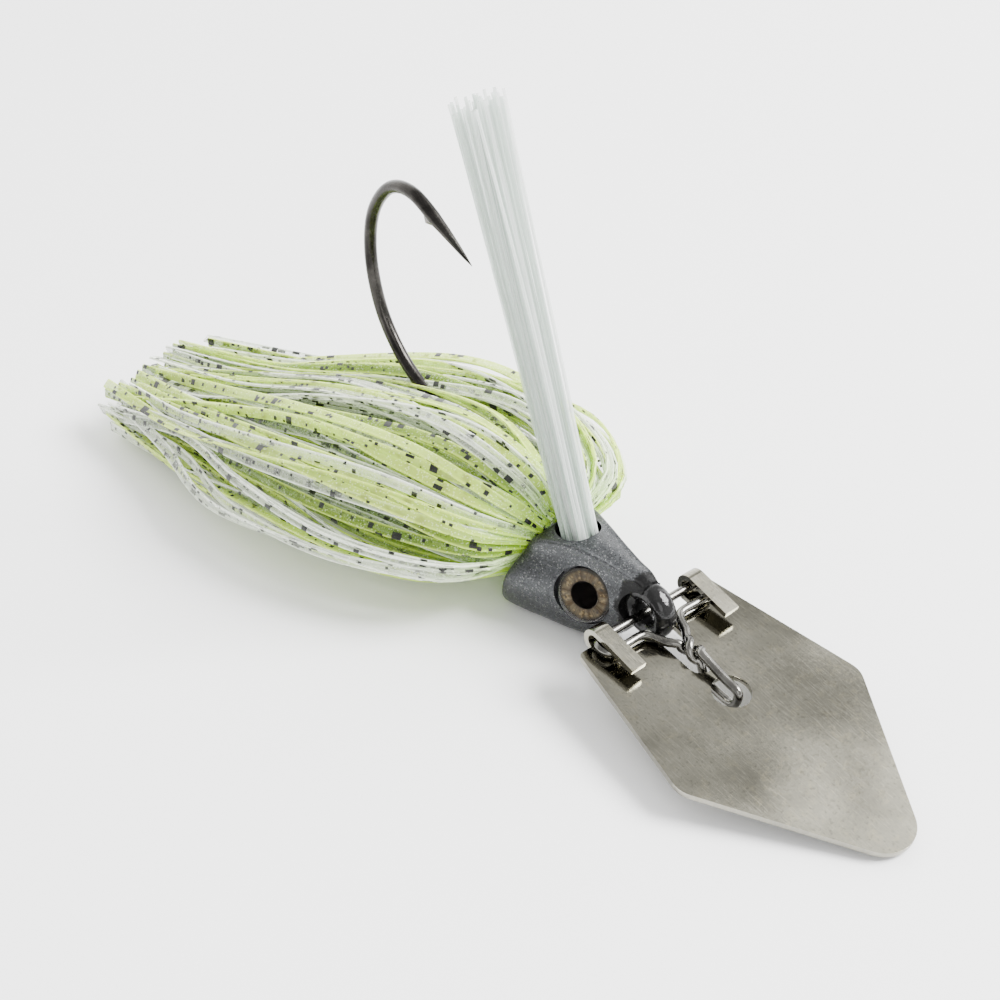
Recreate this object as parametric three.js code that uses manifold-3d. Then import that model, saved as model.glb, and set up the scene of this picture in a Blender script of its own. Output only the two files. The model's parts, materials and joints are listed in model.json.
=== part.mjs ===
// Bladed jig: a lead head moulded on a hook, a fibre weed guard, a silicone skirt, and a flat
// blade hung from the hook's ring eye by a twisted wire link.
//
// Millimetres, +Z up, +X forward (towards the blade), +Y to the lure's left.
// The model is drawn with the crossbar's axis at x = 0, z = 0, then moved so that the origin is
// under the middle of the whole lure, on the surface that it lies on.

import * as THREE from "three";
import { mergeVertices } from "three/addons/utils/BufferGeometryUtils.js";
import Module from "manifold-3d";

const wasm = await Module();
wasm.setup();

// ---- driving dimensions -------------------------------------------------------------------

const GAP = 0.3;                  // clearance between neighbouring pieces
const HOOK_WIRE = 1.3;            // hook wire diameter
const RING_MEAN_RADIUS = 1.9;     // ring eye, centre line of its coated wire
const RING_TUBE_RADIUS = 0.67;
const RING_X = 0.3;               // ring eye centre, from the crossbar's axis
const RING_Z = 0.25;
const SHANK_PITCH = 22;           // degrees that the shank rises towards the bend

const LINK_WIRE = 0.84;           // link wire diameter
const CROSSBAR_Z = -0.2;          // its rest height against the model's working origin
const CROSSBAR_HALF = 5.7;        // crossbar half length, to the start of the end bends
const RETURN_X = 1.85;            // return rod, ahead of the crossbar
const RETURN_Z = -0.05;
const WIRE_END_Y = 4.9;           // the wire's two ends meet here, under the right tab
const STEM_X = 4.6;               // where the two return rods come together
const TWIST_END_X = 6.9;          // where the twist ends and the line loop begins
const TWIST_RADIUS = 0.52;
const LOOP_TOP_Z = -0.08;
const LOOP_LOW_Z = -2.2;
const LOOP_FRONT_X = 11.8;

const BLADE_PITCH = 7.5;          // degrees nose-down as the lure lies
const SHEET = 0.55;               // blade sheet thickness
const ROLL_INNER = 0.74;          // inside radius of the rolled tabs
const BLADE_REAR_X = -0.2;
const BLADE_REAR_HALF = 8.2;
const BLADE_MID_X = 16.1;
const BLADE_MID_HALF = 11.5;
const BLADE_APEX_X = 34.3;        // where the two front edges would meet
const BLADE_TIP_RADIUS = 3.3;
const BLADE_CORNER_RADIUS = 1.0;
const REAR_CORNER_RADIUS = 0.5;
const NOTCH_X = 2.0;              // rear edge between the tabs
const NOTCH_HALF = 4.7;
const SLOT_HALF = 1.25;
const SLOT_END_X = 8.15;
const HOLE_X = 11.0;
const HOLE_RADIUS = 1.85;
const TAB_INNER_Y = 5.05;
const TAB_WIDTH = 1.65;
const TAB_FRONT_X = 4.9;
const TAB_FRONT_Z = 0.25;         // underside of the tab's front end
const TAB_ROOT_X = 1.5;           // how far the tab's sheet is merged into the plate

const EYE_CENTRE = [-5.6, 3.0, -0.55];
const EYE_NORMAL = [0.33, 0.91, 0.25];
const EYE_RADIUS = 2.7;
const EYE_RECESS = 0.95;
const FOIL_THICKNESS = 0.2;
const DOME_RADIUS = 2.6;
const DOME_HEIGHT = 0.9;
const DOME_RIM = 0.12;            // straight edge below the dome's curve

const GUARD_BASE = [-9.5, 3.2];   // x and z where the bristles leave the head
const GUARD_LEAN = 21;            // degrees back from upright
const GUARD_LENGTH = 41.6;
const GUARD_SOCKET_RADIUS = 2.2;
const GUARD_PLUG_DEPTH = 3.2;
const GUARD_BUNCH_RADIUS = 0.5;
const GUARD_PITCH = 1.25;         // distance between neighbouring bunches at the base
const GUARD_FAN = 1.45;           // how much wider the bundle is at its top

const COLLAR_X = -12.6;           // where the shank leaves the back of the head
const COLLAR_Z = -1.0;
const COLLAR_RADIUS = 2.3;
const COLLAR_LENGTH = 6.6;
const COLLAR_BARB_RADIUS = 2.9;
const BAND_INNER = 2.6;
const BAND_OUTER = 3.7;
const BAND_LENGTH = 3.0;
const BAND_START = 2.2;
const BAND_ROUND = 0.35;

const SKIRT_ROOT_RADIUS = 4.6;
const SKIRT_ROOT_BACK = 2.7;
const SKIRT_LOBES = 18;

const rad = THREE.MathUtils.degToRad;

// ---- materials ----------------------------------------------------------------------------

function finish(color, roughness, metalness, more = {}) {
  return new THREE.MeshStandardMaterial({ color, roughness, metalness, ...more });
}

const powderCoat = finish(0x5f6468, 0.45, 0.55);
const blackNickel = finish(0x3a3733, 0.22, 0.95);
const polishedSteel = finish(0x8c8880, 0.12, 1.0);
const wireSteel = finish(0x77736d, 0.25, 1.0);
const irisFoil = finish(0x8f6f3a, 0.35, 0.8);
const clearDome = finish(0x1c1814, 0.05, 0.0, { transparent: true, opacity: 0.55 });
const nylonBristle = finish(0xd9e0da, 0.3, 0.0, { transparent: true, opacity: 0.75 });
const gluedNylon = finish(0xa9b0a8, 0.5, 0.0);
const siliconeBand = finish(0x2a2c2a, 0.7, 0.0);
const chartreuse = finish(0xc6e65a, 0.4, 0.0);
const pearl = finish(0xe6efe2, 0.4, 0.0);

// ---- solids -------------------------------------------------------------------------------

function solid(geometry) {
  const bare = geometry.clone();
  bare.deleteAttribute("normal");
  bare.deleteAttribute("uv");
  const merged = mergeVertices(bare, 1e-5);
  return new wasm.Manifold(new wasm.Mesh({
    numProp: 3,
    vertProperties: new Float32Array(merged.attributes.position.array),
    triVerts: new Uint32Array(merged.index.array),
  }));
}

function geometryOf(manifold) {
  const mesh = manifold.getMesh();
  const points = new Float32Array(mesh.vertProperties);
  const triangles = new Uint32Array(mesh.triVerts);
  const geometry = new THREE.BufferGeometry();
  geometry.setAttribute("position", new THREE.BufferAttribute(points, 3));
  geometry.setIndex(new THREE.BufferAttribute(triangles, 1));
  geometry.computeVertexNormals();
  return geometry;
}

// Joins the first lot of geometries and cuts the second lot out of them.
function shaped(joined, cuts = []) {
  let body = solid(joined[0]);
  for (const piece of joined.slice(1)) {
    body = body.add(solid(piece));
  }
  for (const tool of cuts) {
    body = body.subtract(solid(tool));
  }
  return geometryOf(body);
}

// A closed round bar along a curve. radiusAt(u) gives its radius, u running 0 to 1 along it.
function bar(curve, radiusAt, sides, steps) {
  const geometry = new THREE.CylinderGeometry(1, 1, 1, sides, steps);
  const frames = curve.computeFrenetFrames(steps, false);
  const position = geometry.attributes.position;
  const point = new THREE.Vector3();
  for (let i = 0; i < position.count; i++) {
    const u = THREE.MathUtils.clamp(position.getY(i) + 0.5, 0, 1);
    const step = Math.round(u * steps);
    const radius = radiusAt(u);
    curve.getPointAt(u, point);
    point.addScaledVector(frames.normals[step], position.getX(i) * radius);
    point.addScaledVector(frames.binormals[step], -position.getZ(i) * radius);
    position.setXYZ(i, point.x, point.y, point.z);
  }
  return geometry;
}

function smooth(points, tension = 0.5) {
  const vectors = points.map(([x, y, z]) => new THREE.Vector3(x, y, z));
  return new THREE.CatmullRomCurve3(vectors, false, "catmullrom", tension);
}

const UP_Y = new THREE.Vector3(0, 1, 0);

// A cylinder between two points.
function rod(from, to, radiusFrom, radiusTo, sides) {
  const start = new THREE.Vector3(...from);
  const end = new THREE.Vector3(...to);
  const geometry = new THREE.CylinderGeometry(radiusTo, radiusFrom, start.distanceTo(end), sides);
  const direction = end.clone().sub(start).normalize();
  geometry.applyQuaternion(new THREE.Quaternion().setFromUnitVectors(UP_Y, direction));
  const middle = start.add(end).multiplyScalar(0.5);
  geometry.translate(middle.x, middle.y, middle.z);
  return geometry;
}

const lure = new THREE.Group();
const onHead = new THREE.Group();
const onLink = new THREE.Group();
lure.add(onHead, onLink);

function place(name, geometry, material, group = onHead) {
  const mesh = new THREE.Mesh(geometry, material);
  mesh.name = name;
  group.add(mesh);
  return mesh;
}

// ---- hook ---------------------------------------------------------------------------------

// Centre line from the back of the ring eye, down through the head, along the shank, round the
// bend and forward to the point, as [x, z].
const HOOK_LINE = [
  [-1.9, 0.1], [-4.6, -1.9], [-8.2, -2.6], [COLLAR_X, COLLAR_Z], [-20, 2.0], [-27.5, 5.0],
  [-33, 7.4], [-36.7, 9.8], [-39.6, 13.7], [-40.9, 18.9], [-40.2, 24.0], [-37.4, 27.8],
  [-33.8, 28.8], [-29.6, 27.1], [-25.0, 24.8],
];
const HOOK_TAPER = 0.09;          // share of the centre line that the point tapers over
const POINT_BLUNTNESS = 0.06;     // the point's end against the wire
const BARB_ROOT = [-29.9, 0, 26.9];
const BARB_TIP = [-31.6, 0, 26.3];
const BARB_ROOT_RADIUS = 0.45;
const BARB_TIP_RADIUS = 0.08;

function hookRadius(u) {
  const fromTip = Math.min(1, (1 - u) / HOOK_TAPER);
  return HOOK_WIRE / 2 * Math.max(POINT_BLUNTNESS, fromTip ** 0.75);
}

function ringEye(tubeRadius) {
  const ring = new THREE.TorusGeometry(RING_MEAN_RADIUS, tubeRadius, 8, 24);
  ring.rotateX(Math.PI / 2);
  ring.translate(RING_X, 0, RING_Z);
  return ring;
}

const hookCurve = smooth(HOOK_LINE.map(([x, z]) => [x, 0, z]));
const HOOK_SIDES = 8;
const HOOK_STEPS = 48;

function hookSolid() {
  const wire = bar(hookCurve, hookRadius, HOOK_SIDES, HOOK_STEPS);
  const barb = rod(BARB_ROOT, BARB_TIP, BARB_ROOT_RADIUS, BARB_TIP_RADIUS, 6);
  return shaped([wire, ringEye(RING_TUBE_RADIUS), barb]);
}

place("hook", hookSolid(), blackNickel);

// ---- head ---------------------------------------------------------------------------------

// Cross sections from the back to the nose: x, lean, then half of the outline from the top centre
// by the ridge, the cheek and the lower edge to the bottom centre. lean is how far the section tips
// back for each millimetre below z = 0.
const HEAD_SECTIONS = [
  [-13.1, 0.27, [0, 2.8], [3.2, 2.2], [5.3, -1.2], [4.4, -4.5], [0, -4.9]],
  [-12.3, 0.27, [0, 3.7], [3.7, 2.9], [6.1, -1.4], [5.0, -5.3], [0, -5.7]],
  [-8.8, 0.15, [0, 4.0], [2.6, 3.6], [4.5, -1.3], [3.8, -5.4], [0, -5.7]],
  [-5.4, 0.05, [0, 4.0], [1.8, 3.6], [3.2, -1.1], [2.6, -5.2], [0, -5.5]],
  [-2.6, 0, [0, 3.8], [1.3, 3.4], [2.2, -0.3], [1.6, -3.8], [0, -4.2]],
  [-0.9, 0, [0, 3.6], [1.1, 3.3], [1.6, 1.0], [1.2, -1.6], [0, -2.0]],
  [0.2, 0, [0, 3.3], [0.8, 3.05], [1.2, 2.5], [0.9, 1.9], [0, 1.6]],
];
const HEAD_SIDES = 24;
const HEAD_STEPS = 12;
const OUTLINE_TENSION = 0.6;

function headOutline([x, lean, ...half]) {
  const otherHalf = half.slice(1, -1).map(([y, z]) => [-y, z]).reverse();
  const loop = [...half, ...otherHalf];
  const points = loop.map(([y, z]) => new THREE.Vector3(x + lean * z, y, z));
  return new THREE.CatmullRomCurve3(points, true, "catmullrom", OUTLINE_TENSION);
}

// A line from the back to the nose, the share around (0 to 1) of the way round the head.
function headLine(outlines, around) {
  return new THREE.CatmullRomCurve3(outlines.map((outline) => outline.getPoint(around % 1)));
}

function headBody() {
  const outlines = HEAD_SECTIONS.map(headOutline);
  const geometry = new THREE.CylinderGeometry(1, 1, 1, HEAD_SIDES, HEAD_STEPS);
  const position = geometry.attributes.position;
  for (let i = 0; i < position.count; i++) {
    const along = position.getY(i) + 0.5;
    const angle = Math.atan2(-position.getX(i), position.getZ(i));
    const around = angle / (2 * Math.PI) + 1;
    const point = headLine(outlines, around).getPoint(along);
    const inMiddleOfEnd = Math.hypot(position.getX(i), position.getZ(i)) < 0.5;
    if (inMiddleOfEnd) {
      point.add(headLine(outlines, around + 0.5).getPoint(along)).multiplyScalar(0.5);
    }
    position.setXYZ(i, point.x, point.y, point.z);
  }
  return geometry;
}

const shankBack = new THREE.Vector3(-Math.cos(rad(SHANK_PITCH)), 0, Math.sin(rad(SHANK_PITCH)));
const shankUp = new THREE.Vector3(Math.sin(rad(SHANK_PITCH)), 0, Math.cos(rad(SHANK_PITCH)));
const collarStart = new THREE.Vector3(COLLAR_X, 0, COLLAR_Z);

function alongShank(distance) {
  return collarStart.clone().addScaledVector(shankBack, distance).toArray();
}

function eyeNormal(side) {
  return new THREE.Vector3(EYE_NORMAL[0], side * EYE_NORMAL[1], EYE_NORMAL[2]).normalize();
}

// A point on the eye's axis, height above (or below) the eye's centre.
function alongEye(side, height) {
  const centre = new THREE.Vector3(EYE_CENTRE[0], side * EYE_CENTRE[1], EYE_CENTRE[2]);
  return centre.addScaledVector(eyeNormal(side), height).toArray();
}

const guardAxis = new THREE.Vector3(-Math.sin(rad(GUARD_LEAN)), 0, Math.cos(rad(GUARD_LEAN)));
const guardBase = new THREE.Vector3(GUARD_BASE[0], 0, GUARD_BASE[1]);

function alongGuard(distance) {
  return guardBase.clone().addScaledVector(guardAxis, distance).toArray();
}

const NOTCH_RADIUS = 2.2;         // side notch in the nose round the ring eye
const CUT_PAST = 4;               // how far the cutting tools run past the surface

function headCasting() {
  const barbStart = alongShank(COLLAR_LENGTH - 1);
  const collarEnd = alongShank(COLLAR_LENGTH);
  const cast = [
    headBody(),
    rod(alongShank(-2), collarEnd, COLLAR_RADIUS, COLLAR_RADIUS, 24),
    rod(barbStart, collarEnd, COLLAR_BARB_RADIUS, COLLAR_RADIUS, 24),
  ];
  const notchEnds = [-1, 1].map((side) => [RING_X, side * (CUT_PAST + 1), RING_Z]);
  const socketEnds = [alongGuard(-GUARD_PLUG_DEPTH), alongGuard(CUT_PAST)];
  const cuts = [
    bar(hookCurve, () => HOOK_WIRE / 2 + GAP, HOOK_SIDES, HOOK_STEPS),
    ringEye(RING_TUBE_RADIUS + GAP),
    rod(...notchEnds, NOTCH_RADIUS, NOTCH_RADIUS, 28),
    rod(...socketEnds, GUARD_SOCKET_RADIUS, GUARD_SOCKET_RADIUS, 20),
  ];
  for (const side of [-1, 1]) {
    const ends = [alongEye(side, -EYE_RECESS), alongEye(side, CUT_PAST)];
    cuts.push(rod(...ends, EYE_RADIUS + GAP, EYE_RADIUS + GAP, 28));
  }
  return shaped(cast, cuts);
}

place("head_casting", headCasting(), powderCoat);

// ---- eyes ---------------------------------------------------------------------------------

function domeGeometry() {
  const profile = [new THREE.Vector2(0, 0)];
  const steps = 5;
  profile.push(new THREE.Vector2(DOME_RADIUS, 0));
  for (let i = 0; i < steps; i++) {
    const angle = i / steps * Math.PI / 2;
    const height = DOME_RIM + (DOME_HEIGHT - DOME_RIM) * Math.sin(angle);
    profile.push(new THREE.Vector2(DOME_RADIUS * Math.cos(angle), height));
  }
  profile.push(new THREE.Vector2(0, DOME_HEIGHT));
  return new THREE.LatheGeometry(profile, 20);
}

for (const [name, side] of [["right", -1], ["left", 1]]) {
  const foilBack = GAP - EYE_RECESS;
  const foilFront = foilBack + FOIL_THICKNESS;
  const foilEnds = [alongEye(side, foilBack), alongEye(side, foilFront)];
  place(`eye_foil_${name}`, rod(...foilEnds, EYE_RADIUS, EYE_RADIUS, 28), irisFoil);
  const dome = place(`eye_dome_${name}`, domeGeometry(), clearDome);
  dome.quaternion.setFromUnitVectors(UP_Y, eyeNormal(side));
  dome.position.set(...alongEye(side, foilFront + GAP));
}

// ---- weed guard ---------------------------------------------------------------------------

const PLUG_TOP = 0.5;             // height of the plug's end above the head, along the guard
const PLUG_RADIUS = GUARD_SOCKET_RADIUS - GAP;
const BRISTLE_START = 1.2;
const BUNCHES_ROUND = 6;          // and one more in the middle
const CUT_BACK = 0.7;             // the bunches end at three different lengths

const plugEnds = [alongGuard(GAP - GUARD_PLUG_DEPTH), alongGuard(PLUG_TOP)];
place("guard_base", rod(...plugEnds, PLUG_RADIUS, PLUG_RADIUS, 20), gluedNylon);

const guardSide = new THREE.Vector3(0, 1, 0);
const guardFront = new THREE.Vector3().crossVectors(guardSide, guardAxis);

function bristleBunch(index) {
  const angle = index * 2 * Math.PI / BUNCHES_ROUND;
  const spread = index === BUNCHES_ROUND ? 0 : GUARD_PITCH;
  const offset = guardSide.clone().multiplyScalar(spread * Math.cos(angle));
  offset.addScaledVector(guardFront, spread * Math.sin(angle));
  const length = GUARD_LENGTH - (index % 3) * CUT_BACK;
  const foot = new THREE.Vector3(...alongGuard(BRISTLE_START)).add(offset);
  const top = new THREE.Vector3(...alongGuard(length)).addScaledVector(offset, GUARD_FAN);
  const topRadius = GUARD_BUNCH_RADIUS * GUARD_FAN;
  return rod(foot.toArray(), top.toArray(), GUARD_BUNCH_RADIUS, topRadius, 8);
}

for (let i = 0; i <= BUNCHES_ROUND; i++) {
  place(`guard_bristles_${i + 1}`, bristleBunch(i), nylonBristle);
}

// ---- skirt --------------------------------------------------------------------------------

function bandGeometry() {
  const profile = [
    [BAND_INNER, 0],
    [BAND_OUTER - BAND_ROUND, 0],
    [BAND_OUTER, BAND_ROUND],
    [BAND_OUTER, BAND_LENGTH - BAND_ROUND],
    [BAND_OUTER - BAND_ROUND, BAND_LENGTH],
    [BAND_INNER, BAND_LENGTH],
    [BAND_INNER, 0],
  ];
  return new THREE.LatheGeometry(profile.map(([r, h]) => new THREE.Vector2(r, h)), 24);
}

const band = place("skirt_band", bandGeometry(), siliconeBand);
band.quaternion.setFromUnitVectors(UP_Y, shankBack);
band.position.set(...alongShank(BAND_START));

// Sections of the skirt from the head's rear edge to the tips. The outline at x is an ellipse round
// y, z with half width side and half heights up and down; thick is the radius of one bunch of
// strands, and lean is how far the outline slopes back for each millimetre up and down from its
// middle. share is how far along the bunch the section is.
const SKIRT_SECTIONS = [
  { x: -14.8, y: -0.3, z: 0.2, side: 11.0, up: 7.0, down: 4.6, thick: 0.65, lean: [0.05, 1.1], share: 0.1 },
  { x: -24.5, y: -1.6, z: 0.4, side: 15.6, up: 8.8, down: 4.9, thick: 1.2, lean: [0, 0.4], share: 0.24 },
  { x: -38, y: -5.0, z: 0.1, side: 15.2, up: 7.2, down: 4.7, thick: 1.2, lean: [0, 0], share: 0.46 },
  { x: -51, y: -9.0, z: -1.1, side: 11.2, up: 4.4, down: 3.7, thick: 0.85, lean: [0, 0], share: 0.72 },
  { x: -65, y: -12.8, z: -2.4, side: 7.4, up: 3.3, down: 2.9, thick: 0.35, lean: [0, 0], share: 1 },
];
const SKIRT_ROOT_THICK = 0.3;
const TIP_STAGGER = 1.6;          // the bunches' tips end at up to four different lengths
const HOOK_GAP_FROM = 65.5;       // degrees round the skirt, the opening that the bend comes out of
const HOOK_GAP_TO = 85.5;

// Angles that set the bunches at even distances round the widest section, leaving the opening.
function bunchAngles(count) {
  const { side, up, down } = SKIRT_SECTIONS[1];
  const samples = 720;
  const start = rad(HOOK_GAP_TO);
  const sweep = 2 * Math.PI - rad(HOOK_GAP_TO - HOOK_GAP_FROM);
  const height = (angle) => (Math.sin(angle) > 0 ? up : down) * Math.sin(angle);
  const lengths = [0];
  for (let i = 1; i <= samples; i++) {
    const before = start + sweep * (i - 1) / samples;
    const now = start + sweep * i / samples;
    const run = side * (Math.cos(now) - Math.cos(before));
    lengths.push(lengths[i - 1] + Math.hypot(run, height(now) - height(before)));
  }
  const angles = [];
  for (let k = 0; k < count; k++) {
    const wanted = lengths[samples] * k / (count - 1);
    const index = lengths.findIndex((length) => length >= wanted - 1e-9);
    angles.push(start + sweep * index / samples);
  }
  return angles;
}

function bunchCurve(angle, index) {
  const root = new THREE.Vector3(...alongShank(SKIRT_ROOT_BACK));
  root.y += SKIRT_ROOT_RADIUS * Math.cos(angle);
  root.addScaledVector(shankUp, SKIRT_ROOT_RADIUS * Math.sin(angle));
  const points = [root.toArray()];
  for (const section of SKIRT_SECTIONS) {
    const above = Math.sin(angle) > 0;
    const rise = (above ? section.up : section.down) * Math.sin(angle);
    const x = section.x - section.lean[above ? 0 : 1] * Math.abs(rise);
    points.push([x, section.y + section.side * Math.cos(angle), section.z + rise]);
  }
  points[points.length - 1][0] += TIP_STAGGER * ((index * 5) % 4 - 1.5);
  return smooth(points);
}

function bunchRadius(u) {
  let from = { thick: SKIRT_ROOT_THICK, share: 0 };
  for (const to of SKIRT_SECTIONS) {
    if (u <= to.share) {
      return THREE.MathUtils.mapLinear(u, from.share, to.share, from.thick, to.thick);
    }
    from = to;
  }
  return from.thick;
}

bunchAngles(SKIRT_LOBES).forEach((angle, index) => {
  const colour = index % 2 ? "pearl" : "chartreuse";
  const number = String(index + 1).padStart(2, "0");
  const strands = bar(bunchCurve(angle, index), bunchRadius, 6, 14);
  place(`skirt_strands_${number}_${colour}`, strands, index % 2 ? pearl : chartreuse);
});

// ---- wire link ----------------------------------------------------------------------------

// Where each return rod leaves the crossbar's side and runs in to the twist, as [x, y].
const STEM_LINE = [[RETURN_X + 0.1, 2.8], [2.75, 1.75], [3.75, 1.05]];
// The line loop, down through the hole and back over the bridge, as [x, z].
const LOOP_LINE = [
  [7.45, -1.3], [7.95, LOOP_LOW_Z + 0.2], [9.2, LOOP_LOW_Z], [11.3, LOOP_LOW_Z + 0.1],
  [LOOP_FRONT_X, -1.2], [11.6, -0.25], [10.3, LOOP_TOP_Z], [8.4, LOOP_TOP_Z + 0.3],
];
const TWIST_TURN = 270;           // degrees that the two rods wind round each other
const TWIST_STEPS = 8;
const BEND_STEPS = 6;
const LINK_SIDES = 7;
const LINK_STEPS = 130;

function endBend(side, from, to) {
  const radius = RETURN_X / 2;
  const points = [];
  for (let i = 1; i < BEND_STEPS; i++) {
    const angle = THREE.MathUtils.lerp(from, to, i / BEND_STEPS);
    const x = radius - radius * Math.cos(angle);
    points.push([x, side * (CROSSBAR_HALF + radius * Math.sin(angle)), RETURN_Z * x / RETURN_X]);
  }
  return points;
}

function twist(turnStart) {
  const points = [];
  for (let i = 0; i <= TWIST_STEPS; i++) {
    const angle = rad(turnStart + TWIST_TURN * i / TWIST_STEPS);
    const x = THREE.MathUtils.lerp(STEM_X, TWIST_END_X, i / TWIST_STEPS);
    points.push([x, TWIST_RADIUS * Math.cos(angle), TWIST_RADIUS * Math.sin(angle)]);
  }
  return points;
}

// One wire: from its end under the right tab, out round the right end bend, along the crossbar,
// round the left end bend, in along the return rod, forward through the twist, round the line
// loop, back through the twist and out to meet its other end.
function linkPath() {
  const stem = (side) => STEM_LINE.map(([x, y]) => [x, side * y, RETURN_Z]);
  const crossbar = [-1, -0.7, 0, 0.7, 1].map((share) => [0, share * CROSSBAR_HALF, 0]);
  return smooth([
    [RETURN_X, -WIRE_END_Y - GAP / 2, RETURN_Z],
    [RETURN_X, -CROSSBAR_HALF + 0.1, RETURN_Z],
    ...endBend(-1, Math.PI, 0),
    ...crossbar,
    ...endBend(1, 0, Math.PI),
    [RETURN_X, CROSSBAR_HALF, RETURN_Z],
    [RETURN_X, CROSSBAR_HALF - 1.5, RETURN_Z],
    ...stem(1),
    ...twist(0),
    ...LOOP_LINE.map(([x, z]) => [x, 0, z]),
    ...twist(180).reverse(),
    ...stem(-1).reverse(),
    [RETURN_X, -WIRE_END_Y + GAP / 2, RETURN_Z],
  ]);
}

const linkWire = bar(linkPath(), () => LINK_WIRE / 2, LINK_SIDES, LINK_STEPS);
place("link_wire", linkWire, wireSteel, onLink);

// ---- blade --------------------------------------------------------------------------------

function blendedCorner(shape, before, corner, after, radius) {
  const from = new THREE.Vector2(...corner);
  const back = new THREE.Vector2(...before).sub(from).normalize().multiplyScalar(radius).add(from);
  const on = new THREE.Vector2(...after).sub(from).normalize().multiplyScalar(radius).add(from);
  shape.lineTo(back.x, back.y);
  shape.quadraticCurveTo(from.x, from.y, on.x, on.y);
}

function plateShape() {
  const inner = [BLADE_REAR_X, NOTCH_HALF];
  const rear = [BLADE_REAR_X, BLADE_REAR_HALF];
  const mid = [BLADE_MID_X, BLADE_MID_HALF];
  const apex = [BLADE_APEX_X, 0];
  const mirror = ([x, y]) => [x, -y];
  const halfAngle = Math.atan2(BLADE_MID_HALF, BLADE_APEX_X - BLADE_MID_X);
  const tipCentre = BLADE_APEX_X - BLADE_TIP_RADIUS / Math.sin(halfAngle);
  const tipSweep = Math.PI / 2 - halfAngle;
  const slotEnd = SLOT_END_X - SLOT_HALF;
  const shape = new THREE.Shape();
  shape.moveTo(NOTCH_X, -SLOT_HALF);
  shape.lineTo(NOTCH_X, -NOTCH_HALF);
  shape.lineTo(BLADE_REAR_X, -NOTCH_HALF);
  blendedCorner(shape, mirror(inner), mirror(rear), mirror(mid), REAR_CORNER_RADIUS);
  blendedCorner(shape, mirror(rear), mirror(mid), apex, BLADE_CORNER_RADIUS);
  shape.absarc(tipCentre, 0, BLADE_TIP_RADIUS, -tipSweep, tipSweep, false);
  blendedCorner(shape, apex, mid, rear, BLADE_CORNER_RADIUS);
  blendedCorner(shape, mid, rear, inner, REAR_CORNER_RADIUS);
  shape.lineTo(BLADE_REAR_X, NOTCH_HALF);
  shape.lineTo(NOTCH_X, NOTCH_HALF);
  shape.lineTo(NOTCH_X, SLOT_HALF);
  shape.lineTo(slotEnd, SLOT_HALF);
  shape.absarc(slotEnd, 0, SLOT_HALF, Math.PI / 2, -Math.PI / 2, true);
  const hole = new THREE.Path();
  hole.absarc(HOLE_X, 0, HOLE_RADIUS, 0, 2 * Math.PI, true);
  shape.holes.push(hole);
  return shape;
}

// Side view of a tab: the sheet comes back off the plate, rolls up over the crossbar and runs
// forward above the plate.
function tabShape() {
  const outer = ROLL_INNER + SHEET;
  const rise = Math.atan2(ROLL_INNER - TAB_FRONT_Z, TAB_FRONT_X);
  const shape = new THREE.Shape();
  shape.moveTo(TAB_ROOT_X, -outer);
  shape.lineTo(TAB_ROOT_X, -ROLL_INNER);
  shape.lineTo(0, -ROLL_INNER);
  shape.absarc(0, 0, ROLL_INNER, -Math.PI / 2, Math.PI / 2 - rise, true);
  shape.lineTo(TAB_FRONT_X, TAB_FRONT_Z);
  shape.lineTo(TAB_FRONT_X + SHEET * Math.sin(rise), TAB_FRONT_Z + SHEET * Math.cos(rise));
  shape.absarc(0, 0, outer, Math.PI / 2 - rise, -Math.PI / 2, false);
  return shape;
}

function sheet(shape, depth) {
  const options = { depth, bevelEnabled: false, curveSegments: 14 };
  return new THREE.ExtrudeGeometry(shape, options);
}

function bladeSheet() {
  const plate = sheet(plateShape(), SHEET);
  plate.translate(0, 0, -ROLL_INNER - SHEET);
  const tabs = [-TAB_INNER_Y, TAB_INNER_Y + TAB_WIDTH].map((edge) => {
    const tab = sheet(tabShape(), TAB_WIDTH);
    tab.rotateX(Math.PI / 2);
    tab.translate(0, edge, 0);
    return tab;
  });
  return shaped([plate, ...tabs]);
}

place("blade", bladeSheet(), polishedSteel, onLink);
onLink.rotation.y = rad(BLADE_PITCH);
onLink.position.z = CROSSBAR_Z;

// ---- origin -------------------------------------------------------------------------------

lure.updateMatrixWorld(true);
const box = new THREE.Box3().setFromObject(lure, true);
lure.position.set(-(box.min.x + box.max.x) / 2, -(box.min.y + box.max.y) / 2, -box.min.z);
lure.updateMatrixWorld(true);

export default lure;
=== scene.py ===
"""The looks of a bladed jig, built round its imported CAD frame.

Metres, +Z up, +X forward towards the blade, +Y to the lure's left.
"""

import json
import math
import random

import bpy
import numpy as np
from bpy.props import FloatProperty, IntProperty, PointerProperty
from mathutils import Matrix, Vector


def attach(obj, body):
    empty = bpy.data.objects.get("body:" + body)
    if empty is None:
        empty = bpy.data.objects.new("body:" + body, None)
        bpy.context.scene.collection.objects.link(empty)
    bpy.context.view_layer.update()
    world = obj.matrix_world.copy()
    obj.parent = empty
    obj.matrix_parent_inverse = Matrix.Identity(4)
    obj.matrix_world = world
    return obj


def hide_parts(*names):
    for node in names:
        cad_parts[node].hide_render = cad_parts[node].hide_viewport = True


bl_info = {
    "name": "Bladed jig",
    "version": (1, 0, 0),
    "blender": (4, 5, 0),
    "location": "3D View > Sidebar > Lure",
    "description": "Models and shades a bladed jig, one piece at a time",
    "category": "Object",
}

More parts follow.
